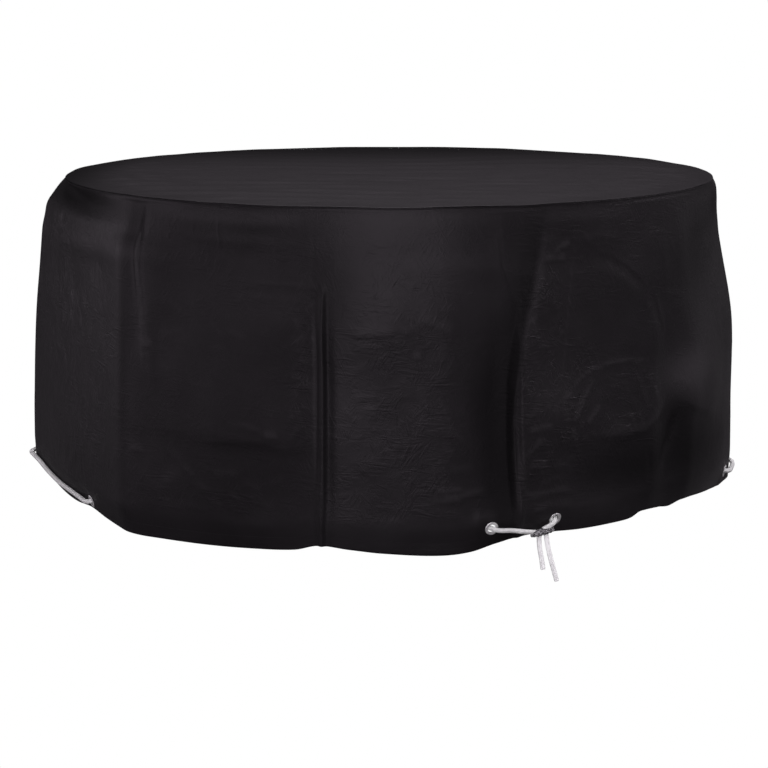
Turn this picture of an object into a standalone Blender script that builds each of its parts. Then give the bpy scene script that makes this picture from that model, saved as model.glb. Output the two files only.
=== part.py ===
"""Round fitted cover that hangs from the top of a garden table and hides the chairs around it.

The underside of the top panel lies at z = 0, and a drop is measured down from it. An azimuth is
in degrees, 0 at the front (-Y) and growing towards +X. Tables are in degrees and millimetres.
"""

import math

import bmesh
import bpy
import numpy as np
from mathutils import Matrix, Vector

MM = 0.001
GAP = 0.3 * MM

# The top panel and the skirt.
TOP_RADIUS = 710 * MM
TOP_STEPS = 144
CLOTH = 1.5 * MM
SEAM_ALLOWANCE = 12 * MM
ROLL_DROP = 20 * MM
MID_DROP = 320 * MM
LOW_DROP = 500 * MM

# The corners that the cloth turns over. It slopes from the rim down to the drop named shoulder.
# roll, top, mid, low and hem say how far it stands out past the rim at the roll, the shoulder,
# mid, low and the hem. bow is how far the face that leads to the next corner swells.
CORNER_COLUMNS = ("azimuth", "shoulder", "roll", "top", "mid", "low", "hem", "bow")
CORNERS = (
    (-166, 190, 4, 34, 52, 50, 46, 5),
    (-137, 190, 4, 34, 54, 52, 46, 0),
    (-130, 120, 5, 28, 40, 42, 42, 8),
    (-93, 72, 24, 62, 85, 92, 93, 8),
    (-47, 60, 16, 42, 50, 52, 48, 0),
    (-43.5, 70, 8, 24, 42, 46, 46, 0),
    (-12, 150, 3, 30, 42, 46, 44, 0),
    (-8.5, 120, 3, 30, 44, 48, 48, 14),
    (17.5, 110, 3, 22, 24, 26, 34, 0),
    (21, 235, 3, 32, 46, 48, 42, 4),
    (46.5, 200, 4, 26, 42, 46, 36, 0),
    (51.5, 150, 4, 18, 28, 18, 30, 0),
    (57.5, 240, 5, 24, 40, 42, 36, 12),
    (92, 125, 17, 24, 60, 58, 60, 4),
    (116, 250, 8, 42, 52, 50, 46, 0),
    (123, 150, 5, 24, 36, 36, 38, 6),
    (152, 190, 4, 34, 52, 50, 46, 0),
    (159, 120, 3, 22, 32, 34, 36, 8),
)
OUTLINE_STEP = 0.6
CORNER_ROUNDING = 1.8
LEVEL_ROUNDING = 14 * MM

# Ridges (height above 0) and creases (below 0) that run down the cloth: azimuth at the top,
# azimuth at the bottom, from drop, to drop, width of the left side, width of the right side, height.
FOLDS = (
    (-10.3, -10.4, 150, 760, 7, 6, 9),
    (-44.2, -42.6, 50, 300, 5, 9, -5),
    (20.4, 20.6, 225, 760, 5, 9, 5),
)
FOLD_FADE = 30 * MM

# The drop of the hem's edge: azimuth, drop.
HEM = (
    (-180, 664),
    (-160, 672),
    (-140, 661),
    (-120, 666),
    (-104, 655),
    (-92, 647),
    (-86, 660),
    (-78, 679),
    (-71, 687),
    (-64, 684),
    (-57, 691),
    (-48, 695),
    (-43, 697),
    (-32, 700),
    (-22, 696),
    (-15, 688),
    (-10.8, 675),
    (-6, 682),
    (-1, 690),
    (8, 697),
    (13, 693),
    (17, 680),
    (21, 668),
    (25, 666),
    (33, 669),
    (41, 664),
    (43.2, 660),
    (45.2, 650),
    (50, 651),
    (53, 655),
    (57, 649),
    (66, 659),
    (76, 674),
    (84, 685),
    (92, 682),
    (110, 670),
    (130, 662),
    (150, 672),
    (167, 660),
)

# The cord draws the hem in below the cloth: azimuth, slope inwards in the last stretch above it.
TUCKS = (
    (-164, 0.5),
    (-136, 0.2),
    (-108, 0.45),
    (-93, 0.05),
    (-80, 0.15),
    (-61, 0.36),
    (-42, 0.3),
    (-20, 0.2),
    (-8, 0.15),
    (6, 0.2),
    (16, 0.42),
    (27, 0.5),
    (42, 0.25),
    (66, 0.25),
    (82, 0.42),
    (92, 0.1),
    (110, 0.5),
    (138, 0.2),
    (165, 0.5),
)
TUCK_HEIGHT = 58 * MM
TUCK_SOFTNESS = 20 * MM

# The skirt's rows of points and the widest step between its columns.
SKIRT_DROPS = (4, 20, 62, 110, 165, 235, 320)
SKIRT_LOWER_SHARES = (0.27, 0.52, 0.76)
SKIRT_STEP = 5.2
SKIRT_CLOSEST = 0.5

# The eyelets in the order in which the cord passes them: azimuth, drop.
EYELETS = (
    (16.1, 645),
    (-62.6, 668),
    (-108, 630),
    (-164, 641),
    (165, 631),
    (111, 640),
    (86.3, 657),
    (27.2, 637.5),
)
EYELET_RADIUS = 14 * MM
EYELET_BORE = 8.5 * MM
EYELET_WALL = 0.8 * MM
EYELET_FLANGE = 1.1 * MM
EYELET_BEVEL = 0.5 * MM
EYELET_STEPS = 14
HOLE_STEPS = 24
PRESSED_FLAT = 14.6 * MM
PRESSED_FADE = 22 * MM

# The drawcord. Each run is its points between two eyelets: azimuth, drop, and how far its middle
# stands off the cloth's outer face. It starts and ends in the knot, and passes each eyelet from
# one side of the cloth to the other.
CORD_RADIUS = 5 * MM
CORD_RUNS = (
    ((23.5, 660, 9.5), (21.2, 654.5, 8.5), (19.2, 650.5, 8)),
    ((5, 650, -10), (-11, 652, -14), (-28, 655, -12), (-45, 660, -15)),
    (
        (-69.3, 666, 7),
        (-77, 660, 7),
        (-83.3, 650, 7),
        (-88, 638, 7),
        (-91, 632, 8),
        (-93, 629.5, 9.5),
        (-95.5, 628, 8),
        (-101, 628, 7),
    ),
    ((-122, 634, -10), (-136, 638, -12), (-151, 641, -10)),
    ((-166.6, 643, 9), (-170, 642, 7.5), (180, 638, 7), (172, 633.5, 7)),
    ((153, 640, -10), (138, 642, -12), (124, 642, -10)),
    ((102, 646, 7), (93.5, 651, 8), (91, 653, 8)),
    ((72, 650, -10), (57, 636, -12), (43, 634, -12)),
    ((24.8, 655.5, 10.5),),
)
# From an eyelet's middle it bends away to each side in an arc: distance aside, distance off.
THROUGH = ((4.5 * MM, 5.6 * MM), (10.6 * MM, 9.3 * MM), (17.7 * MM, 10.6 * MM))
LONG_SPAN = 200 * MM

# The knot, by the azimuth and drop of the cloth behind it, and the two free ends that hang out
# of it: azimuth, drop, radius.
KNOT_PLACE = (24.7, 660.5)
KNOT_LIFT = 10 * MM
KNOT_HALF_SIZE = (22.5 * MM, 8.5 * MM, 8.5 * MM)
KNOT_TILT = 7
KNOT_SEAT = 6.5 * MM
KNOT_STEPS = 16
TAILS = {
    "tail_left": ((24.3, 669, 733), (24.4, 692, 734), (24.7, 715, 735), (25.0, 738.5, 735)),
    "tail_right": (
        (25.5, 667, 733),
        (25.8, 690, 735),
        (26.2, 713, 736),
        (26.8, 739, 736),
        (27.5, 765.5, 735),
    ),
}

# Colour, roughness and metallic value.
FINISHES = {
    "coated_cloth": ((0.018, 0.016, 0.02), 0.45, 0.0),
    "eyelet_metal": ((0.78, 0.78, 0.8), 0.28, 1.0),
    "white_cord": ((0.72, 0.72, 0.74), 0.6, 0.0),
    "grey_knot": ((0.09, 0.09, 0.095), 0.7, 0.0),
}


def column(table, names, name):
    return np.array([row[names.index(name)] for row in table], float)


def ease(share):
    """0 to 1, flat at both ends."""
    share = np.clip(share, 0, 1)
    return share * share * (3 - 2 * share)


def smooth_around(azimuth, table):
    """A smooth closed curve through the rows (azimuth, value) of a table."""
    places, values = np.array(table, float).T
    places = np.concatenate([places[-1:] - 360, places, places[:2] + 360])
    values = np.concatenate([values[-1:], values, values[:2]])
    slopes = (values[2:] - values[:-2]) / (places[2:] - places[:-2])
    azimuth = (np.asarray(azimuth, float) - places[1]) % 360 + places[1]
    index = np.searchsorted(places[1:-2], azimuth, side="right") - 1
    span = places[index + 2] - places[index + 1]
    t = (azimuth - places[index + 1]) / span
    leave = slopes[index] * span * (t**3 - 2 * t**2 + t)
    arrive = slopes[index + 1] * span * (t**3 - t**2)
    step = ease(t) * (values[index + 2] - values[index + 1])
    return values[index + 1] + step + leave + arrive


def hem_drop(azimuth):
    return smooth_around(azimuth, HEM) * MM


def plan_outline(level):
    """The plan of one level, as azimuths and radii: faces that run straight from corner to
    corner, each swollen by its bow, with the corners rounded."""
    corners = column(CORNERS, CORNER_COLUMNS, "azimuth")
    radii = TOP_RADIUS + column(CORNERS, CORNER_COLUMNS, level) * MM
    bows = column(CORNERS, CORNER_COLUMNS, "bow") * MM
    azimuths = np.arange(-180, 180, OUTLINE_STEP)
    index = np.searchsorted(corners, azimuths, side="right") - 1
    span = (np.roll(corners, -1)[index] - corners[index]) % 360
    along = (azimuths - corners[index]) % 360
    near = radii[index]
    far = np.roll(radii, -1)[index]
    straight = near * far * np.sin(np.radians(span))
    straight /= near * np.sin(np.radians(along)) + far * np.sin(np.radians(span - along))
    swell = 4 * bows[index] * (along / span) * (1 - along / span)
    reach = round(CORNER_ROUNDING / OUTLINE_STEP)
    weights = {step: reach + 1 - abs(step) for step in range(-reach, reach + 1)}
    rounded = sum(weight * np.roll(straight + swell, step) for step, weight in weights.items())
    return azimuths, rounded / sum(weights.values())


OUTLINES = [plan_outline(level) for level in ("roll", "top", "mid", "low", "hem")]


def draped_radius(azimuth, drop):
    """The radius of the cloth's outer face before its folds and eyelets."""
    shoulder = np.interp(
        azimuth,
        column(CORNERS, CORNER_COLUMNS, "azimuth"),
        column(CORNERS, CORNER_COLUMNS, "shoulder") * MM,
        period=360,
    )
    drops = [0, ROLL_DROP, shoulder, MID_DROP, LOW_DROP, hem_drop(azimuth)]
    radii = [TOP_RADIUS] + [np.interp(azimuth, *outline, period=360) for outline in OUTLINES]
    reach = np.minimum(LEVEL_ROUNDING, drop)
    rounded = 0
    for offset, weight in ((-1, 1), (-0.5, 2), (0, 3), (0.5, 2), (1, 1)):
        level = drop + offset * reach
        radius = TOP_RADIUS
        for upper, lower, start, end in zip(drops, drops[1:], radii, radii[1:]):
            radius = radius + (end - start) * np.clip((level - upper) / (lower - upper), 0, 1)
        rounded = rounded + radius * weight / 9
    return rounded


def fold_height(azimuth, drop):
    """How far the ridges and creases lift the cloth."""
    height = 0 * azimuth
    for fold in FOLDS:
        top, low, start, end, left, right, lift = fold
        centre = top + (low - top) * ease((drop / MM - start) / (end - start))
        aside = np.radians(azimuth - centre) * TOP_RADIUS / MM
        profile = np.exp(-((aside / np.where(aside < 0, left, right)) ** 2))
        fade = FOLD_FADE / MM
        fade = ease((drop / MM - start) / fade) * ease((end - drop / MM) / fade)
        height = height + lift * MM * profile * fade
    return height


def tuck_depth(azimuth, drop):
    """How far the hem is drawn in."""
    below = np.maximum(drop - hem_drop(azimuth) + TUCK_HEIGHT, 0)
    return smooth_around(azimuth, TUCKS) * below**2 / (below + TUCK_SOFTNESS)


def folded_radius(azimuth, drop):
    return draped_radius(azimuth, drop) + fold_height(azimuth, drop) - tuck_depth(azimuth, drop)


def position(azimuth, drop, radius):
    angle = np.radians(azimuth)
    return np.stack([radius * np.sin(angle), -radius * np.cos(angle), -drop + 0 * angle], -1)


def cloth_frame(azimuth, drop):
    """The outer face's place and normal, levelled over the width of an eyelet."""
    side = math.degrees(PRESSED_FLAT / TOP_RADIUS)
    azimuths = azimuth + np.array([side, -side, 0, 0])
    drops = drop + np.array([0, 0, -PRESSED_FLAT, PRESSED_FLAT])
    right, left, up, down = position(azimuths, drops, folded_radius(azimuths, drops))
    normal = np.cross(right - left, up - down)
    normal /= np.linalg.norm(normal)
    return (right + left + up + down) / 4, normal


EYELET_FRAMES = [cloth_frame(azimuth, drop * MM) for azimuth, drop in EYELETS]


def cloth_radius(azimuth, drop):
    """The radius of the skirt's outer face, which is pressed flat around each eyelet."""
    radius = folded_radius(azimuth, drop)
    across, away = np.sin(np.radians(azimuth)), -np.cos(np.radians(azimuth))
    for (eyelet_azimuth, eyelet_drop), (centre, normal) in zip(EYELETS, EYELET_FRAMES):
        aside = np.radians((azimuth - eyelet_azimuth + 180) % 360 - 180) * TOP_RADIUS
        off = np.maximum(abs(aside), abs(drop - eyelet_drop * MM)) - PRESSED_FLAT * 1.1
        facing = np.maximum(normal[0] * across + normal[1] * away, 0.1)
        plane = (centre @ normal + normal[2] * drop) / facing
        radius = np.where(
            off < PRESSED_FADE, plane + (radius - plane) * ease(off / PRESSED_FADE), radius
        )
    return radius


def place(azimuth, drop, radius):
    """A point from a table's azimuth in degrees, and drop and radius in millimetres."""
    return Vector(position(azimuth, drop * MM, radius * MM))


def off_cloth(azimuth, drop, off):
    """A point that stands this many millimetres off the cloth's outer face."""
    return place(azimuth, drop, float(cloth_radius(azimuth, drop * MM)) / MM + off)


def eyelet_middles():
    """Each eyelet's middle, halfway through the cloth, and its outward normal."""
    for face, normal in EYELET_FRAMES:
        yield Vector(face - normal * CLOTH / 2), Vector(normal)


def new_collection(name, helper=False):
    collection = bpy.data.collections.new(name)
    collection.hide_render = helper
    bpy.context.scene.collection.children.link(collection)
    return collection


def new_material(name, finish):
    """A material for one sub-part, from a row of FINISHES."""
    colour, roughness, metallic = FINISHES[finish]
    material = bpy.data.materials.new(f"{name}_{finish}")
    material.use_nodes = True
    shader = material.node_tree.nodes["Principled BSDF"]
    shader.inputs["Base Color"].default_value = (*colour, 1)
    shader.inputs["Roughness"].default_value = roughness
    shader.inputs["Metallic"].default_value = metallic
    return material


def add_object(name, data, collection, finish=None):
    obj = bpy.data.objects.new(name, data)
    collection.objects.link(obj)
    if finish:
        data.materials.append(new_material(name, finish))
    return obj


def mesh_from(bm, name):
    mesh = bpy.data.meshes.new(name)
    bm.to_mesh(mesh)
    bm.free()
    return mesh


def drill(target, name, radius, length, centre, axis, cutters):
    """Cuts a round hole, with a cylinder of this length about its centre."""
    bm = bmesh.new()
    bmesh.ops.create_cone(
        bm, cap_ends=True, segments=HOLE_STEPS, radius1=radius, radius2=radius, depth=length
    )
    cutter = add_object(name, mesh_from(bm, name), cutters)
    turn = axis.to_track_quat("Z", "Y")
    cutter.matrix_world = Matrix.Translation(centre) @ turn.to_matrix().to_4x4()
    cutter.display_type = "WIRE"
    cutter.hide_render = True
    boolean = target.modifiers.new(name, "BOOLEAN")
    boolean.operation = "DIFFERENCE"
    boolean.solver = "EXACT"
    boolean.object = cutter


def smooth_route(points):
    """A smooth curve through the points, read at each of them and in the middle of long spans."""
    points = [2 * points[0] - points[1], *points, 2 * points[-1] - points[-2]]
    route = []
    for before, start, end, after in zip(points, points[1:], points[2:], points[3:]):
        span = (end - start).length
        steps = 2 if span > LONG_SPAN else 1
        leave = (end - before) / 2
        leave *= span / max(leave.length, span)
        arrive = (after - start) / 2
        arrive *= span / max(arrive.length, span)
        for step in range(steps):
            t = step / steps
            route.append(
                start * (2 * t**3 - 3 * t**2 + 1)
                + leave * (t**3 - 2 * t**2 + t)
                + end * (3 * t**2 - 2 * t**3)
                + arrive * (t**3 - t**2)
            )
    return route + [points[-2]]


def build_rope(name, points, cover):
    """A round cord with capped ends through the points."""
    curve = bpy.data.curves.new(name, "CURVE")
    curve.dimensions = "3D"
    curve.bevel_depth = CORD_RADIUS
    curve.bevel_resolution = 2
    curve.use_fill_caps = True
    spline = curve.splines.new("POLY")
    spline.points.add(len(points) - 1)
    for point, middle in zip(spline.points, points):
        point.co = (*middle, 1)
    add_object(name, curve, cover, "white_cord")


def build_top_panel(cover):
    bm = bmesh.new()
    bmesh.ops.create_cone(
        bm,
        cap_ends=True,
        segments=TOP_STEPS,
        radius1=TOP_RADIUS,
        radius2=TOP_RADIUS,
        depth=CLOTH,
        matrix=Matrix.Translation((0, 0, CLOTH / 2)),
    )
    panel = add_object("top_panel", mesh_from(bm, "top_panel"), cover, "coated_cloth")
    panel.data.shade_smooth()
    panel.data.set_sharp_from_angle(angle=math.radians(40))


def skirt_columns():
    """The azimuths of the skirt's columns: at its corners, folds and eyelets, and between them."""
    marks = set()
    for azimuth in column(CORNERS, CORNER_COLUMNS, "azimuth"):
        marks |= {azimuth - CORNER_ROUNDING, azimuth, azimuth + CORNER_ROUNDING}
    for top, low, _, _, left, right, _ in FOLDS:
        turn = math.degrees(MM / TOP_RADIUS)
        marks |= {low - left * turn, low, low + right * turn}
    pads = set()
    for azimuth, _ in EYELETS:
        turn = math.degrees(PRESSED_FLAT / TOP_RADIUS)
        pads |= {azimuth - turn, azimuth + turn}
        marks = {mark for mark in marks if abs(mark - azimuth) > turn + SKIRT_CLOSEST}
    chosen = []
    for mark in sorted(marks | pads, key=lambda mark: (mark not in pads, mark)):
        if all(abs(mark - other) >= SKIRT_CLOSEST for other in chosen):
            chosen.append(mark)
    chosen.sort()
    columns = []
    for start, end in zip(chosen, chosen[1:] + [chosen[0] + 360]):
        steps = math.ceil((end - start) / SKIRT_STEP)
        columns += [start + (end - start) * step / steps for step in range(steps)]
    return columns


def skirt_rows(azimuth):
    """The drops and radii of one column of the skirt, from the seam allowance to the hem."""
    places = [row[0] % 360 for row in EYELETS]
    order = sorted(range(len(EYELETS)), key=lambda index: places[index])
    above_hem = [hem_drop(EYELETS[index][0]) - EYELETS[index][1] * MM for index in order]
    above_hem = np.interp(azimuth % 360, [places[index] for index in order], above_hem, period=360)
    hem = hem_drop(azimuth)
    upper = hem - above_hem - PRESSED_FLAT
    lower = hem - above_hem + PRESSED_FLAT
    middle = SKIRT_DROPS[-1] * MM
    drops = [drop * MM for drop in SKIRT_DROPS]
    drops += [middle + (upper - middle) * share for share in SKIRT_LOWER_SHARES]
    drops += [upper, lower, hem]
    rows = [(GAP, TOP_RADIUS - SEAM_ALLOWANCE), (GAP, TOP_RADIUS)]
    return rows + [(drop, float(cloth_radius(azimuth, drop))) for drop in drops]


def build_skirt(cover, cutters):
    """A grid bent round into the skirt, thickened inwards and holed for the eyelets."""
    columns = skirt_columns()
    rows = [skirt_rows(azimuth) for azimuth in columns]
    across, down = len(columns), len(rows[0]) - 1
    bm = bmesh.new()
    bmesh.ops.create_grid(bm, x_segments=across, y_segments=down, size=1)
    for vertex in bm.verts:
        along = round((vertex.co.x + 1) / 2 * across) % across
        level = round((1 - vertex.co.y) / 2 * down)
        vertex.co = position(columns[along], *rows[along][level])
    bmesh.ops.remove_doubles(bm, verts=bm.verts, dist=0.01 * MM)
    bmesh.ops.recalc_face_normals(bm, faces=bm.faces)
    skirt = add_object("skirt", mesh_from(bm, "skirt"), cover, "coated_cloth")
    skirt.data.shade_smooth()
    solidify = skirt.modifiers.new("cloth", "SOLIDIFY")
    solidify.thickness = CLOTH
    solidify.offset = -1
    solidify.use_even_offset = True
    radius = EYELET_BORE + EYELET_WALL + GAP
    for number, (centre, normal) in enumerate(eyelet_middles(), 1):
        drill(skirt, f"hole_{number}", radius, 8 * CLOTH, centre, normal, cutters)


def build_eyelets(cover):
    """Rings turned from one profile, each with a slot that holds the cloth's edge."""
    outer, bore, wall = EYELET_RADIUS, EYELET_BORE, EYELET_BORE + EYELET_WALL
    inner_face = CLOTH / 2 + GAP
    face = inner_face + EYELET_FLANGE
    bevel = EYELET_BEVEL
    profile = (
        (outer, face - bevel),
        (outer, inner_face),
        (wall, inner_face),
        (wall, -inner_face),
        (outer, -inner_face),
        (outer, bevel - face),
        (outer - bevel, -face),
        (bore + bevel, -face),
        (bore, bevel - face),
        (bore, face - bevel),
        (bore + bevel, face),
        (outer - bevel, face),
    )
    for number, (centre, normal) in enumerate(eyelet_middles(), 1):
        bm = bmesh.new()
        corners = [bm.verts.new((radius, 0, height)) for radius, height in profile]
        for start, end in zip(corners, corners[1:] + corners[:1]):
            bm.edges.new((start, end))
        name = f"eyelet_{number}"
        ring = add_object(name, mesh_from(bm, name), cover, "eyelet_metal")
        turn = normal.to_track_quat("Z", "Y")
        ring.matrix_world = Matrix.Translation(centre) @ turn.to_matrix().to_4x4()
        screw = ring.modifiers.new("turned", "SCREW")
        screw.axis = "Z"
        screw.steps = EYELET_STEPS
        screw.render_steps = EYELET_STEPS
        screw.use_merge_vertices = True
        screw.merge_threshold = 0.0001


def cord_route():
    """The cord's own points: its runs, and the two arcs at each eyelet that it passes."""
    runs = [[off_cloth(*row) for row in run] for run in CORD_RUNS]
    points = list(runs[0])
    for number, (centre, normal) in enumerate(eyelet_middles()):
        side = 1 if number % 2 == 0 else -1
        arriving = (points[-1], side, THROUGH[::-1])
        leaving = (runs[number + 1][0], -side, THROUGH)
        for neighbour, facing, steps in (arriving, leaving):
            aside = neighbour - centre
            aside = (aside - normal * aside.dot(normal)).normalized()
            points += [centre + aside * out + normal * facing * off for out, off in steps]
        points += runs[number + 1]
    return points


def build_cords(cover, cutters):
    """The drawcord and its two tails, which end in seats cut into the knot."""
    face, outward = (Vector(part) for part in cloth_frame(KNOT_PLACE[0], KNOT_PLACE[1] * MM))
    along = Vector((0, 0, 1)).cross(outward).normalized()
    frame = Matrix((along, outward, along.cross(outward))).transposed()
    frame @= Matrix.Rotation(math.radians(-KNOT_TILT), 3, "Y")
    bm = bmesh.new()
    bmesh.ops.create_uvsphere(bm, u_segments=KNOT_STEPS, v_segments=KNOT_STEPS // 2, radius=1)
    bmesh.ops.rotate(bm, verts=bm.verts, matrix=Matrix.Rotation(math.pi / 2, 3, "Y"))
    bmesh.ops.scale(bm, verts=bm.verts, vec=KNOT_HALF_SIZE)
    knot = add_object("knot", mesh_from(bm, "knot"), cover, "grey_knot")
    knot.matrix_world = Matrix.Translation(face + outward * KNOT_LIFT) @ frame.to_4x4()
    route = smooth_route(cord_route())
    build_rope("drawcord", route, cover)
    ends = [(route[0], route[1]), (route[-1], route[-2])]
    for name, rows in TAILS.items():
        points = smooth_route([place(*row) for row in rows])
        build_rope(name, points, cover)
        ends.append((points[0], points[1]))
    for number, (end, after) in enumerate(ends, 1):
        away = (after - end).normalized()
        length = 2 * KNOT_HALF_SIZE[0]
        centre = end + away * (length / 2 - GAP)
        drill(knot, f"seat_{number}", KNOT_SEAT, length, centre, away, cutters)


def main():
    for obj in list(bpy.data.objects):
        bpy.data.objects.remove(obj)
    cover = new_collection("furniture_cover")
    cutters = new_collection("cutters", helper=True)
    build_top_panel(cover)
    build_skirt(cover, cutters)
    build_eyelets(cover)
    build_cords(cover, cutters)


main()
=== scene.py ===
import math

import bmesh
import bpy
import numpy as np
from mathutils import Matrix, Vector
from mathutils.kdtree import KDTree


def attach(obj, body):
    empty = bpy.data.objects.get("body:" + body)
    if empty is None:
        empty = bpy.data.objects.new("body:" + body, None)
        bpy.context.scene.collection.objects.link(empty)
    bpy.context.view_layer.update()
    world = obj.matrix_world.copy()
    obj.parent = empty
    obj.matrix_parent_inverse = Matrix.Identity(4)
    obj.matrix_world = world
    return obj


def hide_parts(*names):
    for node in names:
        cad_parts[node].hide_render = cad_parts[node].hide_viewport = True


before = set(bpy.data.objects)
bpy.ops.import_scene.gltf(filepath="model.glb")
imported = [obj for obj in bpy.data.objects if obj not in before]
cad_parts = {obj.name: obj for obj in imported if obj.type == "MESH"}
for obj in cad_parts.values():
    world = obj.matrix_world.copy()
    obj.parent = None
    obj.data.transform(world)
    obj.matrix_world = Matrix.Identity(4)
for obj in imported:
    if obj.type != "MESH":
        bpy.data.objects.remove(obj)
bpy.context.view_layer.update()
mm = 0.001

# An azimuth is in degrees, 0 at the front and growing towards +X. A drop is measured down from
# the underside of the top panel. The tables hold degrees and millimetres.

cloth = {
    "topRadius": 710 * mm,
    "thickness": 1.5 * mm,
    "rollDrop": 20 * mm,
    "midDrop": 320 * mm,
    "lowDrop": 500 * mm,
    "outlineStep": 0.6,
    "cornerRounding": 1.8,
    "levelRounding": 14 * mm,
    "foldFade": 30 * mm,
    "tuckHeight": 58 * mm,
    "tuckSoftness": 20 * mm,
    "waveReach": 60 * mm,
}
levels = ("roll", "top", "mid", "low", "hem")
# azimuth, shoulder, how far it stands out at each level, and the swell of the face that follows
corners = (
    (-166, 190, 4, 34, 52, 50, 46, 5),
    (-137, 190, 4, 34, 54, 52, 46, 0),
    (-130, 120, 5, 28, 40, 42, 42, 8),
    (-93, 72, 24, 62, 85, 92, 93, 8),
    (-47, 60, 16, 42, 50, 52, 48, 0),
    (-43.5, 70, 8, 24, 42, 46, 46, 0),
    (-12, 150, 3, 30, 42, 46, 44, 0),
    (-8.5, 120, 3, 30, 44, 48, 48, 14),
    (17.5, 110, 3, 22, 24, 26, 34, 0),
    (21, 235, 3, 32, 46, 48, 42, 4),
    (46.5, 200, 4, 26, 42, 46, 36, 0),
    (51.5, 150, 4, 18, 28, 18, 30, 0),
    (57.5, 240, 5, 24, 40, 42, 36, 12),
    (92, 125, 17, 24, 60, 58, 60, 4),
    (116, 250, 8, 42, 52, 50, 46, 0),
    (123, 150, 5, 24, 36, 36, 38, 6),
    (152, 190, 4, 34, 52, 50, 46, 0),
    (159, 120, 3, 22, 32, 34, 36, 8),
)
# azimuth at the top and at the bottom, from drop, to drop, left width, right width, height
folds = (
    (-10.3, -10.4, 150, 760, 7, 6, 9),
    (-44.2, -42.6, 50, 300, 5, 9, -5),
    (20.4, 20.6, 225, 760, 5, 9, 5),
)
# azimuth, drop of the hem's edge
hem = (
    (-180, 664), (-160, 672), (-140, 661), (-120, 666), (-104, 655), (-92, 647), (-86, 660),
    (-78, 679), (-71, 687), (-64, 684), (-57, 691), (-48, 695), (-43, 697), (-32, 700),
    (-22, 696), (-15, 688), (-10.8, 675), (-6, 682), (-1, 690), (8, 697), (13, 693), (17, 680),
    (21, 668), (25, 666), (33, 669), (41, 664), (43.2, 660), (45.2, 650), (50, 651), (53, 655),
    (57, 649), (66, 659), (76, 674), (84, 685), (92, 682), (110, 670), (130, 662), (150, 672),
    (167, 660),
)
# azimuth, slope by which the cord draws the hem in
tucks = (
    (-164, 0.5), (-136, 0.2), (-108, 0.45), (-93, 0.05), (-80, 0.15), (-61, 0.36), (-42, 0.3),
    (-20, 0.2), (-8, 0.15), (6, 0.2), (16, 0.42), (27, 0.5), (42, 0.25), (66, 0.25), (82, 0.42),
    (92, 0.1), (110, 0.5), (138, 0.2), (165, 0.5),
)
ring = {
    "radius": 14 * mm,
    "bore": 8.5 * mm,
    "wall": 0.8 * mm,
    "gap": 0.3 * mm,
    "flange": 1.1 * mm,
    "flat": 14.6 * mm,
    "fade": 22 * mm,
    "steps": 40,
    "holeSides": 28,
    "holeDepth": 18 * mm,
    "rounding": 0.25 * mm,
}
# azimuth, drop
eyelets = (
    (16.1, 645), (-62.6, 668), (-108, 630), (-164, 641),
    (165, 631), (111, 640), (86.3, 657), (27.2, 637.5),
)
meanRadius = 760  # where lengths round the cloth are measured, in millimetres
circumference = 2 * math.pi * meanRadius * mm


def ease(share):
    share = np.clip(share, 0, 1)
    return share * share * (3 - 2 * share)


def smoothAround(azimuth, table):
    places, values = np.array(table, float).T
    places = np.concatenate([places[-1:] - 360, places, places[:2] + 360])
    values = np.concatenate([values[-1:], values, values[:2]])
    slopes = (values[2:] - values[:-2]) / (places[2:] - places[:-2])
    azimuth = (np.asarray(azimuth, float) - places[1]) % 360 + places[1]
    index = np.searchsorted(places[1:-2], azimuth, side="right") - 1
    span = places[index + 2] - places[index + 1]
    t = (azimuth - places[index + 1]) / span
    leave = slopes[index] * span * (t**3 - 2 * t**2 + t)
    arrive = slopes[index + 1] * span * (t**3 - t**2)
    return values[index + 1] + ease(t) * (values[index + 2] - values[index + 1]) + leave + arrive


def hemDrop(azimuth):
    return smoothAround(azimuth, hem) * mm


def planOutline(level):
    table = np.array(corners, float)
    places, bows = table[:, 0], table[:, 7] * mm
    radii = cloth["topRadius"] + table[:, 2 + levels.index(level)] * mm
    azimuths = np.arange(-180, 180, cloth["outlineStep"])
    index = np.searchsorted(places, azimuths, side="right") - 1
    span = (np.roll(places, -1)[index] - places[index]) % 360
    along = (azimuths - places[index]) % 360
    near, far = radii[index], np.roll(radii, -1)[index]
    straight = near * far * np.sin(np.radians(span))
    straight /= near * np.sin(np.radians(along)) + far * np.sin(np.radians(span - along))
    outline = straight + 4 * bows[index] * (along / span) * (1 - along / span)
    reach = round(cloth["cornerRounding"] / cloth["outlineStep"])
    weights = {step: reach + 1 - abs(step) for step in range(-reach, reach + 1)}
    rounded = sum(weight * np.roll(outline, step) for step, weight in weights.items())
    return azimuths, rounded / sum(weights.values())


outlines = [planOutline(level) for level in levels]


# where the levels are sampled to round them, and the share of each sample in ninths
levelSamples = ((-1, 1), (-0.5, 2), (0, 3), (0.5, 2), (1, 1))


def drapedRadius(azimuth, drop):
    table = np.array(corners, float)
    shoulder = np.interp(azimuth, table[:, 0], table[:, 1] * mm, period=360)
    drops = [0, cloth["rollDrop"], shoulder, cloth["midDrop"], cloth["lowDrop"], hemDrop(azimuth)]
    radii = [cloth["topRadius"]]
    radii += [np.interp(azimuth, *outline, period=360) for outline in outlines]
    reach = np.minimum(cloth["levelRounding"], drop)
    rounded = 0
    for offset, weight in levelSamples:
        level = drop + offset * reach
        radius = cloth["topRadius"]
        for upper, lower, start, end in zip(drops, drops[1:], radii, radii[1:]):
            radius = radius + (end - start) * np.clip((level - upper) / (lower - upper), 0, 1)
        rounded = rounded + radius * weight / 9
    return rounded


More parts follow.
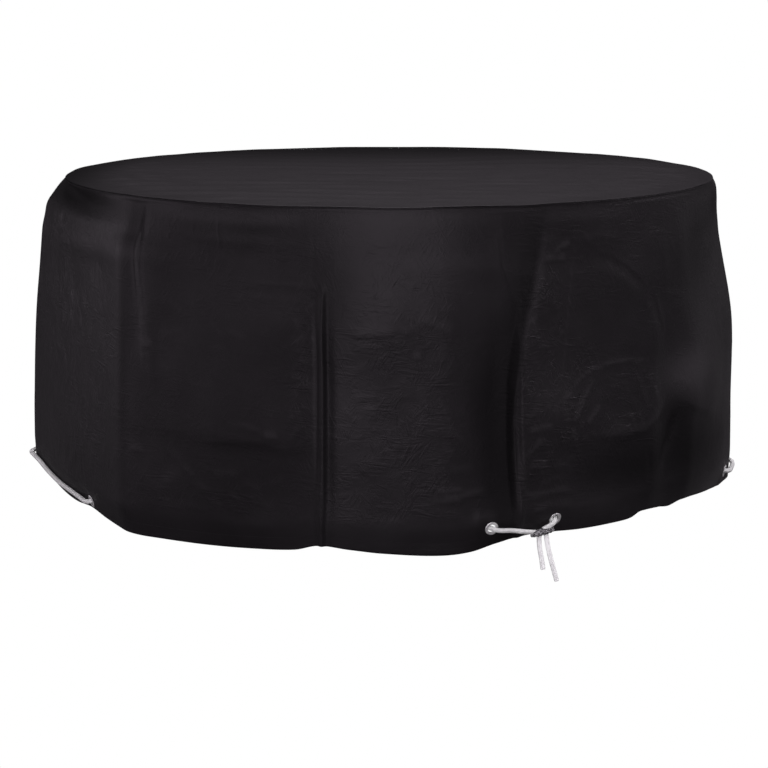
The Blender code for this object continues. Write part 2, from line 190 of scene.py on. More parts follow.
def foldHeight(azimuth, drop):
    height = 0 * azimuth
    for top, low, start, end, left, right, lift in folds:
        centre = top + (low - top) * ease((drop / mm - start) / (end - start))
        aside = np.radians(azimuth - centre) * cloth["topRadius"] / mm
        profile = np.exp(-((aside / np.where(aside < 0, left, right)) ** 2))
        fade = cloth["foldFade"] / mm
        fade = ease((drop / mm - start) / fade) * ease((end - drop / mm) / fade)
        height = height + lift * mm * profile * fade
    return height


def tuckDepth(azimuth, drop):
    below = np.maximum(drop - hemDrop(azimuth) + cloth["tuckHeight"], 0)
    return smoothAround(azimuth, tucks) * below**2 / (below + cloth["tuckSoftness"])


def foldedRadius(azimuth, drop):
    return drapedRadius(azimuth, drop) + foldHeight(azimuth, drop) - tuckDepth(azimuth, drop)


def position(azimuth, drop, radius):
    angle = np.radians(azimuth)
    return np.stack([radius * np.sin(angle), -radius * np.cos(angle), -drop + 0 * angle], -1)


def clothFrame(azimuth, drop):
    side = math.degrees(ring["flat"] / cloth["topRadius"])
    azimuths = azimuth + np.array([side, -side, 0, 0])
    drops = drop + np.array([0, 0, -ring["flat"], ring["flat"]])
    right, left, up, down = position(azimuths, drops, foldedRadius(azimuths, drops))
    normal = np.cross(right - left, up - down)
    normal /= np.linalg.norm(normal)
    return (right + left + up + down) / 4, normal


eyeletFrames = [clothFrame(azimuth, drop * mm) for azimuth, drop in eyelets]


def clothRadius(azimuth, drop):
    # the draped cloth, pressed flat around each eyelet
    radius = foldedRadius(azimuth, drop)
    across, away = np.sin(np.radians(azimuth)), -np.cos(np.radians(azimuth))
    for (eyeletAzimuth, eyeletDrop), (centre, normal) in zip(eyelets, eyeletFrames):
        aside = np.radians((azimuth - eyeletAzimuth + 180) % 360 - 180) * cloth["topRadius"]
        off = np.maximum(abs(aside), abs(drop - eyeletDrop * mm)) - ring["flat"] * 1.1
        facing = np.maximum(normal[0] * across + normal[1] * away, 0.1)
        plane = (centre @ normal + normal[2] * drop) / facing
        pressed = plane + (radius - plane) * ease(off / ring["fade"])
        radius = np.where(off < ring["fade"], pressed, radius)
    return radius


def eyeletMiddles():
    for face, normal in eyeletFrames:
        yield Vector(face - normal * cloth["thickness"] / 2), Vector(normal)


def place(azimuth, drop, radius):
    return Vector(position(azimuth, drop * mm, radius * mm))


def offCloth(azimuth, drop, off):
    return place(azimuth, drop, float(clothRadius(azimuth, drop * mm)) / mm + off)


photoCamera = {
    "place": (-0.0112, -6.4437, 0.6009),
    "target": (-0.0112, 0, -0.4693),
    "lens": 137.109,
    "sensor": 36,
}


def setCamera():
    data = bpy.data.cameras.new("camera")
    data.lens = photoCamera["lens"]
    data.sensor_width = photoCamera["sensor"]
    camera = bpy.data.objects.new("camera", data)
    bpy.context.scene.collection.objects.link(camera)
    camera.location = photoCamera["place"]
    away = Vector(photoCamera["target"]) - camera.location
    camera.rotation_euler = away.to_track_quat("-Z", "Y").to_euler()
    bpy.context.scene.camera = camera
    print("camera set")


setCamera()


# shader maths: a wire is one socket's value, and a finish is one material
class Wire:
    def __init__(self, finish, socket):
        self.finish = finish
        self.socket = socket

    def maths(self, operation, other=None, turned=False, clamp=False):
        values = {0: other, 1: self} if turned else {0: self, 1: other}
        settings = {"operation": operation, "use_clamp": clamp}
        return self.finish.node("ShaderNodeMath", settings, values)

    def __add__(self, other):
        return self.maths("ADD", other)

    def __sub__(self, other):
        return self.maths("SUBTRACT", other)

    def __rsub__(self, other):
        return self.maths("SUBTRACT", other, turned=True)

    def __mul__(self, other):
        return self.maths("MULTIPLY", other)

    def __truediv__(self, other):
        return self.maths("DIVIDE", other)

    __radd__ = __add__
    __rmul__ = __mul__

    def sine(self):
        return self.maths("SINE")

    def absolute(self):
        return self.maths("ABSOLUTE")

    def clamped(self):
        return self.maths("ADD", 0, clamp=True)

    def smooth(self, low, high):
        settings = {"interpolation_type": "SMOOTHSTEP"}
        return self.finish.node("ShaderNodeMapRange", settings, {0: self, 1: low, 2: high})


class Finish:
    def __init__(self, name):
        self.material = bpy.data.materials.new(name)
        self.material.use_nodes = True
        self.tree = self.material.node_tree
        self.shader = self.tree.nodes["Principled BSDF"]

    def put(self, socket, value):
        if isinstance(value, Wire):
            self.tree.links.new(value.socket, socket)
        elif value is not None:
            socket.default_value = value

    def node(self, kind, settings=None, values=None, output=0):
        made = self.tree.nodes.new(kind)
        for name, value in (settings or {}).items():
            setattr(made, name, value)
        for name, value in (values or {}).items():
            self.put(made.inputs[name], value)
        return Wire(self, made.outputs[output])

    def give(self, name, value):
        self.put(self.shader.inputs[name], value)

    def objectPlace(self):
        return self.node("ShaderNodeTexCoord", output="Object")

    def firstTwo(self, vector):
        parts = self.node("ShaderNodeSeparateXYZ", None, {0: vector}).socket.node
        return Wire(self, parts.outputs[0]), Wire(self, parts.outputs[1])

    def along(self, name="fabric"):
        # the piece's own map, in metres
        return self.firstTwo(self.node("ShaderNodeUVMap", {"uv_map": name}))

    def spot(self, name):
        return self.node("ShaderNodeAttribute", {"attribute_name": name}, output="Fac")

    def together(self, *parts):
        return self.node("ShaderNodeCombineXYZ", None, dict(enumerate(parts)))

    def scaled(self, vector, size):
        return self.node("ShaderNodeMapping", None, {"Vector": vector, "Scale": size})

    def noise(self, vector, scale, detail=2, roughness=0.5, distortion=0):
        values = {"Vector": vector, "Scale": scale, "Detail": detail}
        values.update({"Roughness": roughness, "Distortion": distortion})
        return self.node("ShaderNodeTexNoise", None, values)

    def blend(self, share, first, second):
        # a mix of two colours, whose sockets follow those for numbers and vectors
        values = {0: share, 6: first, 7: second}
        return self.node("ShaderNodeMix", {"data_type": "RGBA"}, values, output=2)

    def bump(self, height, distance, strength=1.0, below=None):
        values = {"Height": height, "Distance": distance, "Strength": strength, "Normal": below}
        return self.node("ShaderNodeBump", None, values)


# one cloth, coated and woven; its creases finer than the mesh are given by direction, length,
# width, depth and place of the pattern
clothLook = {
    "dark": (0.0088, 0.0080, 0.0088, 1),
    "light": (0.0135, 0.0124, 0.0135, 1),
    # the lighter colour below stands for wear and painted light
    "wornAndLit": (0.034, 0.032, 0.034, 1),
    # the near-black colour below is painted shade
    "paintedShade": (0.0012, 0.0011, 0.0012, 1),
    "tint": (1, 0.95, 1, 1),
    "roughness": 0.41,
    "thread": 1.3 * mm,
    "threadDepth": 0.05 * mm,
    "crumpleDepth": 0.7 * mm,
}
# each look gives the share of the lighter colour, for wear and painted light
skirtLook = {
    "gloss": 0.145, "wearAndLightShare": 0.34, "patchScale": 4.5,
    "creases": (
        (4, 60, 13, 5.0, 0), (66, 44, 11, 4.0, 7), (-58, 40, 10, 4.0, 13), (20, 24, 8, 2.4, 21),
    ),
}
topLook = {
    "gloss": 0.06, "wearAndLightShare": 0.6, "patchScale": 11,
    "creases": ((3, 90, 34, 2.0, 0), (-8, 60, 24, 1.2, 7)),
}
stitches = {"width": 0.45 * mm, "pitch": 4.4 * mm, "depth": 0.35 * mm}


def fineCreases(finish, u, v, rows, crumple):
    relief = None
    for turn, long, wide, depth, seed in rows:
        turn = math.radians(turn)
        along = (u * math.cos(turn) + v * math.sin(turn)) / (long * mm)
        across = (v * math.cos(turn) - u * math.sin(turn)) / (wide * mm)
        spot = finish.together(along, across, seed)
        pattern = (finish.noise(spot, 1, 2, 0.5, 0.7) - 0.5).absolute()
        there = finish.noise(finish.together(along * 0.7, across * 0.22, seed + 3), 1, 1)
        height = pattern * there.smooth(0.42, 0.62) * crumple
        relief = finish.bump(height, depth * mm, 1.0, relief)
    return relief


def clothFinish(name, look, mapped):
    finish = Finish(name)
    spotPlace = finish.objectPlace()
    u, v = finish.along() if mapped else finish.firstTwo(spotPlace)
    turns = 2 * math.pi / clothLook["thread"]
    weave = (u * turns).sine() * (v * turns).sine()
    wearAndPaintedLight, paintedShade, crumple = (finish.spot(fact) for fact in ("wearAndPaintedLight", "paintedShade", "crumple"))
    patches = finish.noise(spotPlace, look["patchScale"], 4, 0.6)
    fine = finish.noise(finish.scaled(spotPlace, (1, 1, 1.8)), 55, 3, 0.62, 0.6)
    colour = finish.blend(patches.smooth(0.3, 0.75), clothLook["dark"], clothLook["light"])
    # lighter where wear and painted light are set
    colour = finish.blend((wearAndPaintedLight * look["wearAndLightShare"]).clamped(), colour, clothLook["wornAndLit"])
    # painted shade darkens the colour towards near-black, and roughens it
    finish.give("Base Color", finish.blend(paintedShade, colour, clothLook["paintedShade"]))
    roughness = clothLook["roughness"] + patches * 0.06 + fine * 0.04 + wearAndPaintedLight * 0.04
    finish.give("Roughness", roughness + paintedShade * 0.32)
    relief = fineCreases(finish, u, v, look["creases"], crumple)
    relief = finish.bump(fine * crumple, clothLook["crumpleDepth"], 0.7, relief)
    relief = finish.bump(weave, clothLook["threadDepth"], 0.5, relief)
    if mapped:
        # one row of stitches along the hem
        u, v = finish.along("hemMap")
        across = ((v - skirtMesh["stitchLine"]) / stitches["width"]).absolute().smooth(1.2, 0.7)
        row = across * (u * (2 * math.pi / stitches["pitch"])).sine().smooth(-0.35, 0.15)
        relief = finish.bump(row, stitches["depth"], 0.8, relief)
    finish.give("Normal", relief)
    finish.give("Specular IOR Level", look["gloss"])
    finish.give("Specular Tint", clothLook["tint"])
    return finish.material


cordSizes = {
    "radius": 5 * mm,
    "sides": 14,
    "step": 2.6 * mm,
    "strands": 8,
    "pitch": 22 * mm,
    "relief": 0.16 * mm,
    "fibre": 1.1 * mm,
    "sharpFrom": 50,
}
# light, grey, and a glow that paints light onto the tails
cordLooks = {
    "whiteCord": ((0.80, 0.83, 0.80, 1), (0.48, 0.50, 0.49, 1), 0),
    "whiteTail": ((0.97, 0.98, 0.97, 1), (0.86, 0.89, 0.87, 1), 0.14),
}
# the runs of the drawcord between two eyelets: azimuth, drop, middle off the cloth's outer face
cordRuns = (
    ((23.5, 660, 9.5), (21.2, 654.5, 8.5), (19.2, 650.5, 8)),
    ((5, 650, -10), (-11, 652, -14), (-28, 655, -12), (-45, 660, -15)),
    ((-69.3, 666, 7), (-77, 660, 7), (-83.3, 650, 7), (-88, 638, 7), (-91, 632, 8),
     (-93, 629.5, 9.5), (-95.5, 628, 8), (-101, 628, 7)),
    ((-122, 634, -10), (-136, 638, -12), (-151, 641, -10)),
    ((-166.6, 643, 9), (-170, 642, 7.5), (180, 638, 7), (172, 633.5, 7)),
    ((153, 640, -10), (138, 642, -12), (124, 642, -10)),
    ((102, 646, 7), (93.5, 651, 8), (91, 653, 8)),
    ((72, 650, -10), (57, 636, -12), (43, 634, -12)),
    ((24.8, 655.5, 10.5),),
)
# the arc through an eyelet: aside, off its middle
throughEyelet = ((4.5 * mm, 5.6 * mm), (10.6 * mm, 9.3 * mm), (17.7 * mm, 10.6 * mm))
tailPoints = {
    "tailLeft": ((24.25, 659, 733), (24.4, 692, 734), (24.7, 715, 735), (25.0, 738.5, 735)),
    "tailRight": ((25.4, 656, 733), (25.8, 690, 735), (26.2, 713, 736), (26.8, 739, 736),
                  (27.5, 765.5, 735)),
}


def cordRoute():
    runs = [[offCloth(*row) for row in run] for run in cordRuns]
    points = list(runs[0])
    for number, (centre, normal) in enumerate(eyeletMiddles()):
        side = 1 if number % 2 == 0 else -1
        arriving = (points[-1], side, throughEyelet[::-1])
        leaving = (runs[number + 1][0], -side, throughEyelet)
        for neighbour, facing, steps in (arriving, leaving):
            aside = neighbour - centre
            aside = (aside - normal * aside.dot(normal)).normalized()
            points += [centre + aside * out + normal * facing * off for out, off in steps]
        points += runs[number + 1]
    return points


def smoothRoute(points, step):
    points = [2 * points[0] - points[1], *points, 2 * points[-1] - points[-2]]
    route = []
    for before, start, end, after in zip(points, points[1:], points[2:], points[3:]):
        span = (end - start).length
        steps = max(1, round(span / step))
        leave = (end - before) / 2
        leave *= span / max(leave.length, span)
        arrive = (after - start) / 2
        arrive *= span / max(arrive.length, span)
        for number in range(steps):
            t = number / steps
            route.append(
                start * (2 * t**3 - 3 * t**2 + 1)
                + leave * (t**3 - 2 * t**2 + t)
                + end * (3 * t**2 - 2 * t**3)
                + arrive * (t**3 - t**2)
            )
    return route + [points[-2]]


def lengthOf(points):
    return sum((after - before).length for before, after in zip(points, points[1:]))


def addMesh(name, vertices, faces):
    mesh = bpy.data.meshes.new(name)
    mesh.from_pydata([tuple(vertex) for vertex in vertices], [], faces)
    mesh.update()
    piece = bpy.data.objects.new(name, mesh)
    bpy.context.scene.collection.objects.link(piece)
    return piece


def turnOutwards(mesh, sharp=None):
    bm = bmesh.new()
    bm.from_mesh(mesh)
    bmesh.ops.recalc_face_normals(bm, faces=bm.faces)
    for edge in bm.edges if sharp else ():
        if len(edge.link_faces) == 2 and edge.calc_face_angle(0) > sharp:
            edge.smooth = False
    bm.to_mesh(mesh)
    bm.free()


def joined(pieces):
    bpy.ops.object.select_all(action="DESELECT")
    for piece in pieces:
        piece.select_set(True)
    bpy.context.view_layer.objects.active = pieces[0]
    bpy.ops.object.join()
    return bpy.context.object


def sideways(points):
    # one direction square to the line at each point, carried along it without twist
    side = (points[1] - points[0]).orthogonal().normalized()
    found = []
    for number, point in enumerate(points):
        ahead = points[min(number + 1, len(points) - 1)] - points[max(number - 1, 0)]
        ahead.normalize()
        side = (side - ahead * side.dot(ahead)).normalized()
        found.append((side, ahead.cross(side)))
    return found


def buildRope(name, points, radius, sides, relief, strands, pitch):
    # a tube with the low waves of a braid, mapped in metres along and turns around
    vertices, uvs = [], []
    travelled = 0
    frames = sideways(points)
    for number, (point, (side, other)) in enumerate(zip(points, frames)):
        if number:
            travelled += (point - points[number - 1]).length
        for corner in range(sides):
            angle = 2 * math.pi * corner / sides
            turn = 2 * math.pi * travelled / pitch
            wave = math.sin(strands / 2 * angle + turn) * math.sin(strands / 2 * angle - turn)
            wide = radius + relief * wave
            vertices.append(point + (side * math.cos(angle) + other * math.sin(angle)) * wide)
            uvs.append((travelled, corner / sides))
    rings = len(points)
    faces = []
    faceMaps = []
    for number in range(rings - 1):
        for corner in range(sides):
            after = (corner + 1) % sides
            a, b = number * sides + corner, number * sides + after
            faces.append((a, b, b + sides, a + sides))
            low, high = uvs[a], uvs[a + sides]
            right = (corner + 1) / sides
            faceMaps += [low, (low[0], right), (high[0], right), high]
    faces.append(tuple(range(sides))[::-1])
    faces.append(tuple(range((rings - 1) * sides, rings * sides)))
    faceMaps += [(0, 0)] * sides * 2
    piece = addMesh(name, vertices, faces)
    mapLayer = piece.data.uv_layers.new(name="fabric")
    mapLayer.data.foreach_set("uv", np.array(faceMaps, np.float32).ravel())
    piece.data.shade_smooth()
    turnOutwards(piece.data, sharp=math.radians(cordSizes["sharpFrom"]))
    return piece


def ropeFinish(name):
    light, grey, glow = cordLooks[name]
    finish = Finish(name)
    u, v = finish.along()
    turn = 2 * math.pi
    along, around = u * (turn / cordSizes["pitch"]), v * (turn * cordSizes["strands"] / 2)
    braid = (along + around).sine() * (along - around).sine()
    fibre = (u * (turn / cordSizes["fibre"]) + v * (turn * 9)).sine()
    dirt = finish.noise(finish.objectPlace(), 60, 3, 0.6)
    colour = finish.blend((braid * 0.14 + 0.66 + dirt * 0.2).clamped(), grey, light)
    finish.give("Base Color", colour)
    finish.give("Roughness", 0.55 + dirt * 0.2)
    relief = finish.bump(braid, 0.3 * mm, 0.8)
    relief = finish.bump(fibre, 0.1 * mm, 0.5, relief)
    finish.give("Normal", relief)
    # the glow is painted light on the tails
    finish.give("Emission Color", (1, 1, 1, 1))
    finish.give("Emission Strength", glow)
    return finish.material


def buildCords():
    route = smoothRoute(cordRoute(), cordSizes["step"])
    sizes = (cordSizes["radius"], cordSizes["sides"], cordSizes["relief"])
    sizes += (cordSizes["strands"], cordSizes["pitch"])
    rope = buildRope("drawcordRope", route, *sizes)
    rope.data.materials.append(ropeFinish("whiteCord"))
    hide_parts("drawcord")
    cords = [(rope, route)]
    tailFinish = ropeFinish("whiteTail")
    for (name, rows), node in zip(tailPoints.items(), ("tail_left", "tail_right")):
        points = smoothRoute([place(*row) for row in rows], cordSizes["step"])
        tail = buildRope(name, points, *sizes)
        tail.data.materials.append(tailFinish)
        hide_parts(node)
        cords.append((tail, points))
    for piece, _ in cords:
        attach(piece, "root")
    print("cords built")
    return cords


def declareCords(cords):
    (rope, route), *tails = cords
    round(lengthOf(route), 2)
    for tail, points in tails:
        round(lengthOf(points), 3)


cords = buildCords()


skirtMesh = {
    "frontStep": 0.37,
    "backStep": 1.15,
    "sharpStep": 0.13,
    "frontFrom": -104,
    "frontTo": 100,
    "frontFade": 14,
    # drop, and how far off the top's radius
    "seamRows": (
        (0.35, -12), (0.35, -6), (0.35, -1.6), (0.8, -0.4), (1.7, 0.1), (3.0, -0.5), (4.6, -0.9),
    ),
    "bodyFrom": 9 * mm,
    "bodyRows": 98,
    "rowSpread": 1.08,
    "hemFold": 34 * mm,
    "aboveHem": (34, 30, 27.6, 26.2, 24.8, 22, 17, 11, 5.5, 1.4),
    "stitchLine": 26.2 * mm,
    "evenTo": 130 * mm,
    "easing": 85 * mm,
    "easeFrom": 130 * mm,
    "easeFade": 110 * mm,
    "easeHem": 90 * mm,
    # drop, radius
    "liningEdge": ((1.85, 698), (1.85, 706), (3.6, 708)),
    "liningColumns": 4,
    "liningRows": 3,
    # how near to a cord or an eyelet the wrinkles start, and grow to their full height, and the
    # share that the creases given one by one keep beside them
    "clearFrom": 13 * mm,
    "clearFade": 30 * mm,
    "creaseKept": 0.25,
    # how far under the top the hills and the swells start, and grow to their full height
    "hillsFrom": (4 * mm, 80 * mm),
    "swellsFrom": (3 * mm, 16 * mm),
    "evenShare": 0.9,
    # the hem's second layer, its fade and lift, then the half width and depth of its stitch line
    "hemBand": (29 * mm, 3 * mm, 0.5 * mm),
    "stitchDent": (1.4 * mm, 0.7 * mm),
    "turnedUnder": 1.3 * mm,
    "liningUnder": 2.8 * mm,
    # how far down the seam's wave starts
    "waveFrom": 1.2 * mm,
}
# size of the hills, height, seed, how tall they are against their width
skirtHills = ((150, 1.6, 31, 1), (70, 0.9, 32, 1), (30, 0.6, 33, 1.5))
# where the cloth rounds over from the seam, in place of one even slope
roundedPatches = ((-90, 20, 22, 90, 1.2), (95, 20, 16, 90, 1.2))
# where narrow ridges and lines run, and the columns are closer: azimuth, half width
sharpPlaces = ((-10.4, 1.9), (20.2, 1.5), (-29, 0.3), (-46.6, 0.6), (-44.8, 0.8))
# how much fine crumple the cloth shows: azimuth, drop, half width, half height, strength
crumplePatches = (
    (-68, 400, 22, 230, 0.05), (-72, 270, 9, 60, 0.2), (-84, 95, 10, 40, 0.5),
    (-30, 300, 13, 170, -0.22), (-13.4, 330, 2.0, 150, 0.6), (-22, 600, 9, 70, 0.15),
    (2, 400, 9, 200, 0.25), (27, 390, 8, 110, 0.7), (25, 200, 4, 80, 0.6), (40, 420, 10, 80, 0.5),
    (27, 560, 7, 80, 0.3), (38, 250, 8, 70, -0.2), (65, 560, 14, 90, -0.1),
    (80, 130, 12, 90, 0.3), (180, 350, 70, 260, 0.2),
)
# where shade is painted as a darker colour: azimuth, drop, half width, half height, strength
paintedShadePatches = (
    (44, 545, 14, 62, 0.7), (60, 545, 11, 85, 0.7), (54.5, 455, 3.5, 45, 0.5),
    (76, 560, 12, 60, 0.3), (-78, 26, 24, 30, 1.3), (-24, 492, 13, 14, 0.35),
    (-10.4, 430, 1.5, 260, 0.3), (-22, 50, 6, 12, 0.35), (-30, 600, 16, 90, 0.1),
    (64, 140, 11, 100, 0.5), (84, 55, 8, 42, 0.8), (-46.4, 360, 1.2, 250, 0.4),
    (-8.2, 150, 4.0, 110, 0.4),
)
# where light is painted as a lighter colour, in the same way; a strength below zero paints shade
paintedLightPatches = (
    (58, 375, 8, 55, 3.0), (34, 390, 12, 70, 0.5), (33, 620, 14, 50, 0.9), (26, 380, 5, 60, 0.6),
    (-42.4, 200, 1.4, 110, 0.7), (-36, 380, 10, 200, 0.25), (-64, 112, 18, 26, 0.4),
    (62, 55, 5, 30, 0.6), (-24, 474, 16, 6, -1.0),
)
# shade painted in the deep fold beside the right ridge, in the way of the creases given one by one
paintedShadeFolds = (
    (12, 60, 0.85, ((26.6, -150), (25.4, 20), (23.9, 110), (22.1, 190), (20.4, 260), (19.3, 350),
                    (18.9, 430), (18.9, 500), (19.3, 620), (19.8, 900))),
)
# where it is mottled with soft dents
mottledPatches = ((-67, 380, 17, 220, 1.0), (28, 400, 8, 150, 1.0), (2, 430, 9, 200, 0.5))
# short creases at random: azimuth, drop, half width, half height, how many, direction (0 level,
# 90 down), its spread, longest, height
creasePatches = (
    (28, 415, 7, 75, 40, 118, 42, 85, 1.05),
    (25, 205, 3.6, 85, 22, 10, 35, 50, 1.1),
    (31, 100, 6, 35, 8, 10, 20, 80, 1.0),
    (45, 410, 4.5, 70, 18, 72, 16, 90, 1.1),
    (27, 560, 6, 80, 22, 4, 16, 80, 1.0),
    (-13.3, 320, 1.9, 150, 34, 125, 35, 42, 0.75),
    (2, 300, 8, 120, 26, 8, 40, 70, 0.8),
    (2, 500, 10, 130, 44, 2, 22, 90, 0.9),
    (-1, 260, 4, 40, 8, 0, 15, 60, 1.0),
    (-30, 330, 13, 240, 14, 2, 16, 110, 0.6),
    (-28, 600, 14, 60, 20, 3, 20, 90, 0.8),
    (-66, 400, 17, 230, 70, 84, 24, 95, 1.2),
    (-69, 330, 11, 130, 26, 80, 45, 55, 1.9),
    (-78, 90, 9, 40, 12, 15, 30, 80, 1.6),
    (66, 260, 14, 150, 18, 8, 50, 100, 0.9),
    (78, 420, 18, 180, 22, 10, 40, 90, 0.7),
    (0, 26, 80, 18, 46, 60, 40, 34, 0.35),
    (180, 350, 80, 280, 70, 20, 50, 120, 1.1),
)
# broad swells of the cloth: azimuth, drop, half width, half height, height
swells = (
    (9.0, 330, 4.5, 230, 5), (0, 112, 8, 42, -5), (-1, 238, 7, 70, 7),
    (62, 330, 8, 110, 6), (-66, 560, 12, 90, 4), (-64, 38, 11, 22, -9),
    (-66, 118, 16, 26, 4), (67, 370, 9, 100, 8),
)
# creases given one by one. A line is azimuths and drops. Before it come the width above it or on
# its right as it runs down, the width below it or on its left, and the height
handCreases = (
    (2.2, 2.2, 2.8, ((-10.6, 190), (-10.3, 250), (-10.1, 316), (-10.0, 437), (-10.0, 582),
                     (-10.2, 673))),
    (11, 5, -4.5, ((-11.5, 180), (-11.0, 299), (-10.9, 418), (-10.8, 600))),
    (12, 5, -4.0, ((-9.6, 180), (-9.4, 316), (-9.25, 418), (-9.2, 579), (-9.3, 670))),
    (2.5, 2.5, 3.0, ((20.8, 240), (20.3, 280), (20.0, 313), (19.8, 347), (19.5, 380), (19.3, 423),
                     (19.5, 495), (19.8, 568), (20.4, 638))),
    (6, 4, -3.5, ((20.1, 423), (20.3, 495), (20.6, 568), (21.0, 620))),
    (12, 80, -6, ((24.8, 20), (23.6, 110), (21.9, 190), (20.3, 260), (19.0, 340))),
    (8, 78, -14.5, ((20.4, 180), (19.2, 270), (18.6, 350), (18.5, 430), (18.6, 500), (19.1, 600),
                    (19.6, 700))),
    (3.5, 30, -1.1, ((-24.7, 161), (-22.2, 163), (-15.7, 161), (-10.9, 163))),
    (3.5, 30, -1.0, ((-26.2, 188), (-24.9, 191), (-17.4, 189), (-11.2, 187))),
    (6, 9, 3.6, ((-44.3, 20), (-43.9, 140), (-42.8, 250), (-42.4, 380))),
    (16, 10, 2.4, ((-44.0, 60), (-43.0, 190), (-41.9, 270), (-41.0, 400))),
    (75, 8, 2.7, ((-34.6, 477), (-31.7, 477), (-22.5, 473), (-16.3, 476), (-11.9, 474))),
    (22, 14, -1.6, ((-41.0, 577), (-38, 545), (-35.5, 521))),
    (12, 5, 1.1, ((-45.5, 514), (-41.5, 513))),
    (10, 5, 1.1, ((-20.4, 457), (-17.2, 459))),
    (5, 4, 0.8, ((-44.0, 280), (-39.6, 305))),
    (5, 4, 0.8, ((-43.7, 309), (-39.8, 278))),
    (2.6, 2.6, 0.5, ((-29.0, 8), (-29.1, 59), (-28.6, 106))),
    (2.8, 2.8, 0.32, ((31.6, 12), (31.2, 102), (29.4, 224), (27.4, 369), (26.9, 428))),
    (8, 5, 1.5, ((26.8, 100), (28.7, 88), (31.0, 76))),
    (12, 5, 1.5, ((24.7, 108), (27.5, 108), (30.5, 113))),
    (7, 12, -1.3, ((33.6, 106), (35.4, 109), (39.1, 122), (42.0, 141), (44.2, 164), (46.6, 197))),
    (7, 12, -1.4, ((47.0, 183), (48.4, 234), (49.4, 270), (48.7, 306))),
    (4, 3, 0.9, ((27.5, 395), (30.2, 366), (31.5, 349), (34.1, 335), (37.9, 327), (43.3, 329),
                 (47.0, 334))),
    (7, 5, 2.0, ((29.9, 447), (31.2, 413), (33.4, 364))),
    (7, 5, 1.8, ((32.3, 453), (34, 428), (35.7, 408))),
    (34, 15, 4.2, ((33.1, 468), (35.1, 468), (40.2, 471), (44.1, 466), (46.9, 448), (49.9, 430),
                   (51.2, 394))),
    (9, 16, -5.0, ((54.2, 438), (52.4, 513), (47.4, 587))),
    (34, 14, 4.0, ((52.6, 400), (54.6, 420), (58.3, 443), (66.0, 473), (76, 492))),
    (6, 6, -1.4, ((45.4, 507), (45.9, 577))),
    (12, 5, 1.4, ((5.7, 587), (10.9, 579), (16.9, 559))),
    (9, 5, 1.1, ((6.2, 565), (12.5, 560))),
    (16, 9, 1.2, ((-7.6, 232), (-6.0, 240), (-3.8, 243), (-1.5, 242), (0.4, 239), (2.4, 229))),
    (20, 10, 1.1, ((4.0, 214), (6.6, 224), (8.9, 237), (10.5, 254))),
    (8, 5, 1.0, ((3.4, 291), (5.2, 294))),
    (8, 5, 1.1, ((20.5, 448), (27.3, 441))),
    (8, 5, 1.2, ((20.6, 526), (25.9, 516))),
    (9, 5, 1.5, ((20.7, 581), (30.5, 577))),
    (8, 5, 1.0, ((22.6, 611), (25.7, 611))),
    (12, 6, 2.0, ((-83.4, 79), (-79.5, 84))),
    (10, 6, 2.0, ((-83.6, 106), (-79, 99), (-74.9, 92))),
)


hillCells = 257


def hills(x, y, seed, period=hillCells):
    # smooth random hills, one to each cell, from -1 to 1
    table = np.random.RandomState(seed).uniform(-1, 1, (hillCells, hillCells))
    column, row = np.floor(x).astype(int), np.floor(y).astype(int)
    a, b = ease(x - column), ease(y - row)
    left, right = column % period, (column + 1) % period
    over, under = row % hillCells, (row + 1) % hillCells
    upper = table[left, over] * (1 - a) + table[right, over] * a
    lower = table[left, under] * (1 - a) + table[right, under] * a
    return upper * (1 - b) + lower * b


def hillsRound(azimuth, drop, size, seed, tall=1.0):
    period = max(3, round(circumference / (size * mm)))
    return hills(azimuth / 360 * period, drop / (size * tall * mm), seed, period)


def softRidge(phase):
    ridge = np.abs((phase % 1) * 2 - 1)
    return np.sqrt(ridge**2 + 0.16**2) - 0.55


def patchSum(azimuth, drop, table):
    total = 0 * azimuth
    for centre, level, wide, tall, amount in table:
        aside = ((azimuth - centre + 180) % 360 - 180) / wide
        total = total + amount * np.exp(-(aside**2) - ((drop / mm - level) / tall) ** 2)
    return total


def crumpleStrength(azimuth, drop):
    strength = 0.3 + 0.12 * hillsRound(azimuth, drop, 170, 5)
    return np.clip(strength + patchSum(azimuth, drop, crumplePatches), 0.04, 1.1)


# how the short creases vary: the widths of their sharp and soft sides, then shares of the
# longest, of the length, of the height and of the creases, and the drops they keep between. A
# patch of many creases keeps those below the lower drop
scatter = {
    "seed": 23,
    "sharp": (4.2, 5.5),
    "soft": (6, 14),
    "length": (0.4, 1),
    "bend": (-0.35, 0.35),
    "height": (0.45, 1),
    "sharpLeft": 0.35,
    "raised": 0.75,
    "topDrop": 12,
    "lowDrop": 640,
    "manyCreases": 60,
}


def scatteredCreases():
    chance = np.random.RandomState(scatter["seed"])
    rows = []
    for centre, level, wide, tall, count, turn, spread, longest, height in creasePatches:
        for _ in range(count):
            azimuth = centre + chance.uniform(-1, 1) * wide
            drop = level + chance.uniform(-1, 1) * tall
            heading = math.radians(turn + chance.normal(0, spread))
            length = longest * chance.uniform(*scatter["length"])
            bend = chance.uniform(*scatter["bend"]) * length
            line = []
            for share in np.linspace(-0.5, 0.5, 5).tolist():
                out, aside = share * length, bend * (0.25 - share * share)
                x = out * math.cos(heading) - aside * math.sin(heading)
                y = out * math.sin(heading) + aside * math.cos(heading)
                line.append((azimuth + math.degrees(x / meanRadius), drop + y))
            tooHigh = min(level for _, level in line) < scatter["topDrop"]
            if tooHigh or (drop > scatter["lowDrop"] and count < scatter["manyCreases"]):
                continue
            sharp, soft = chance.uniform(*scatter["sharp"]), chance.uniform(*scatter["soft"])
            sides = (sharp, soft) if chance.uniform() < scatter["sharpLeft"] else (soft, sharp)
            lift = 0.5 * height * chance.uniform(*scatter["height"])
            lift *= 1 if chance.uniform() < scatter["raised"] else -1
            rows.append((*sides, lift, line))
    return rows


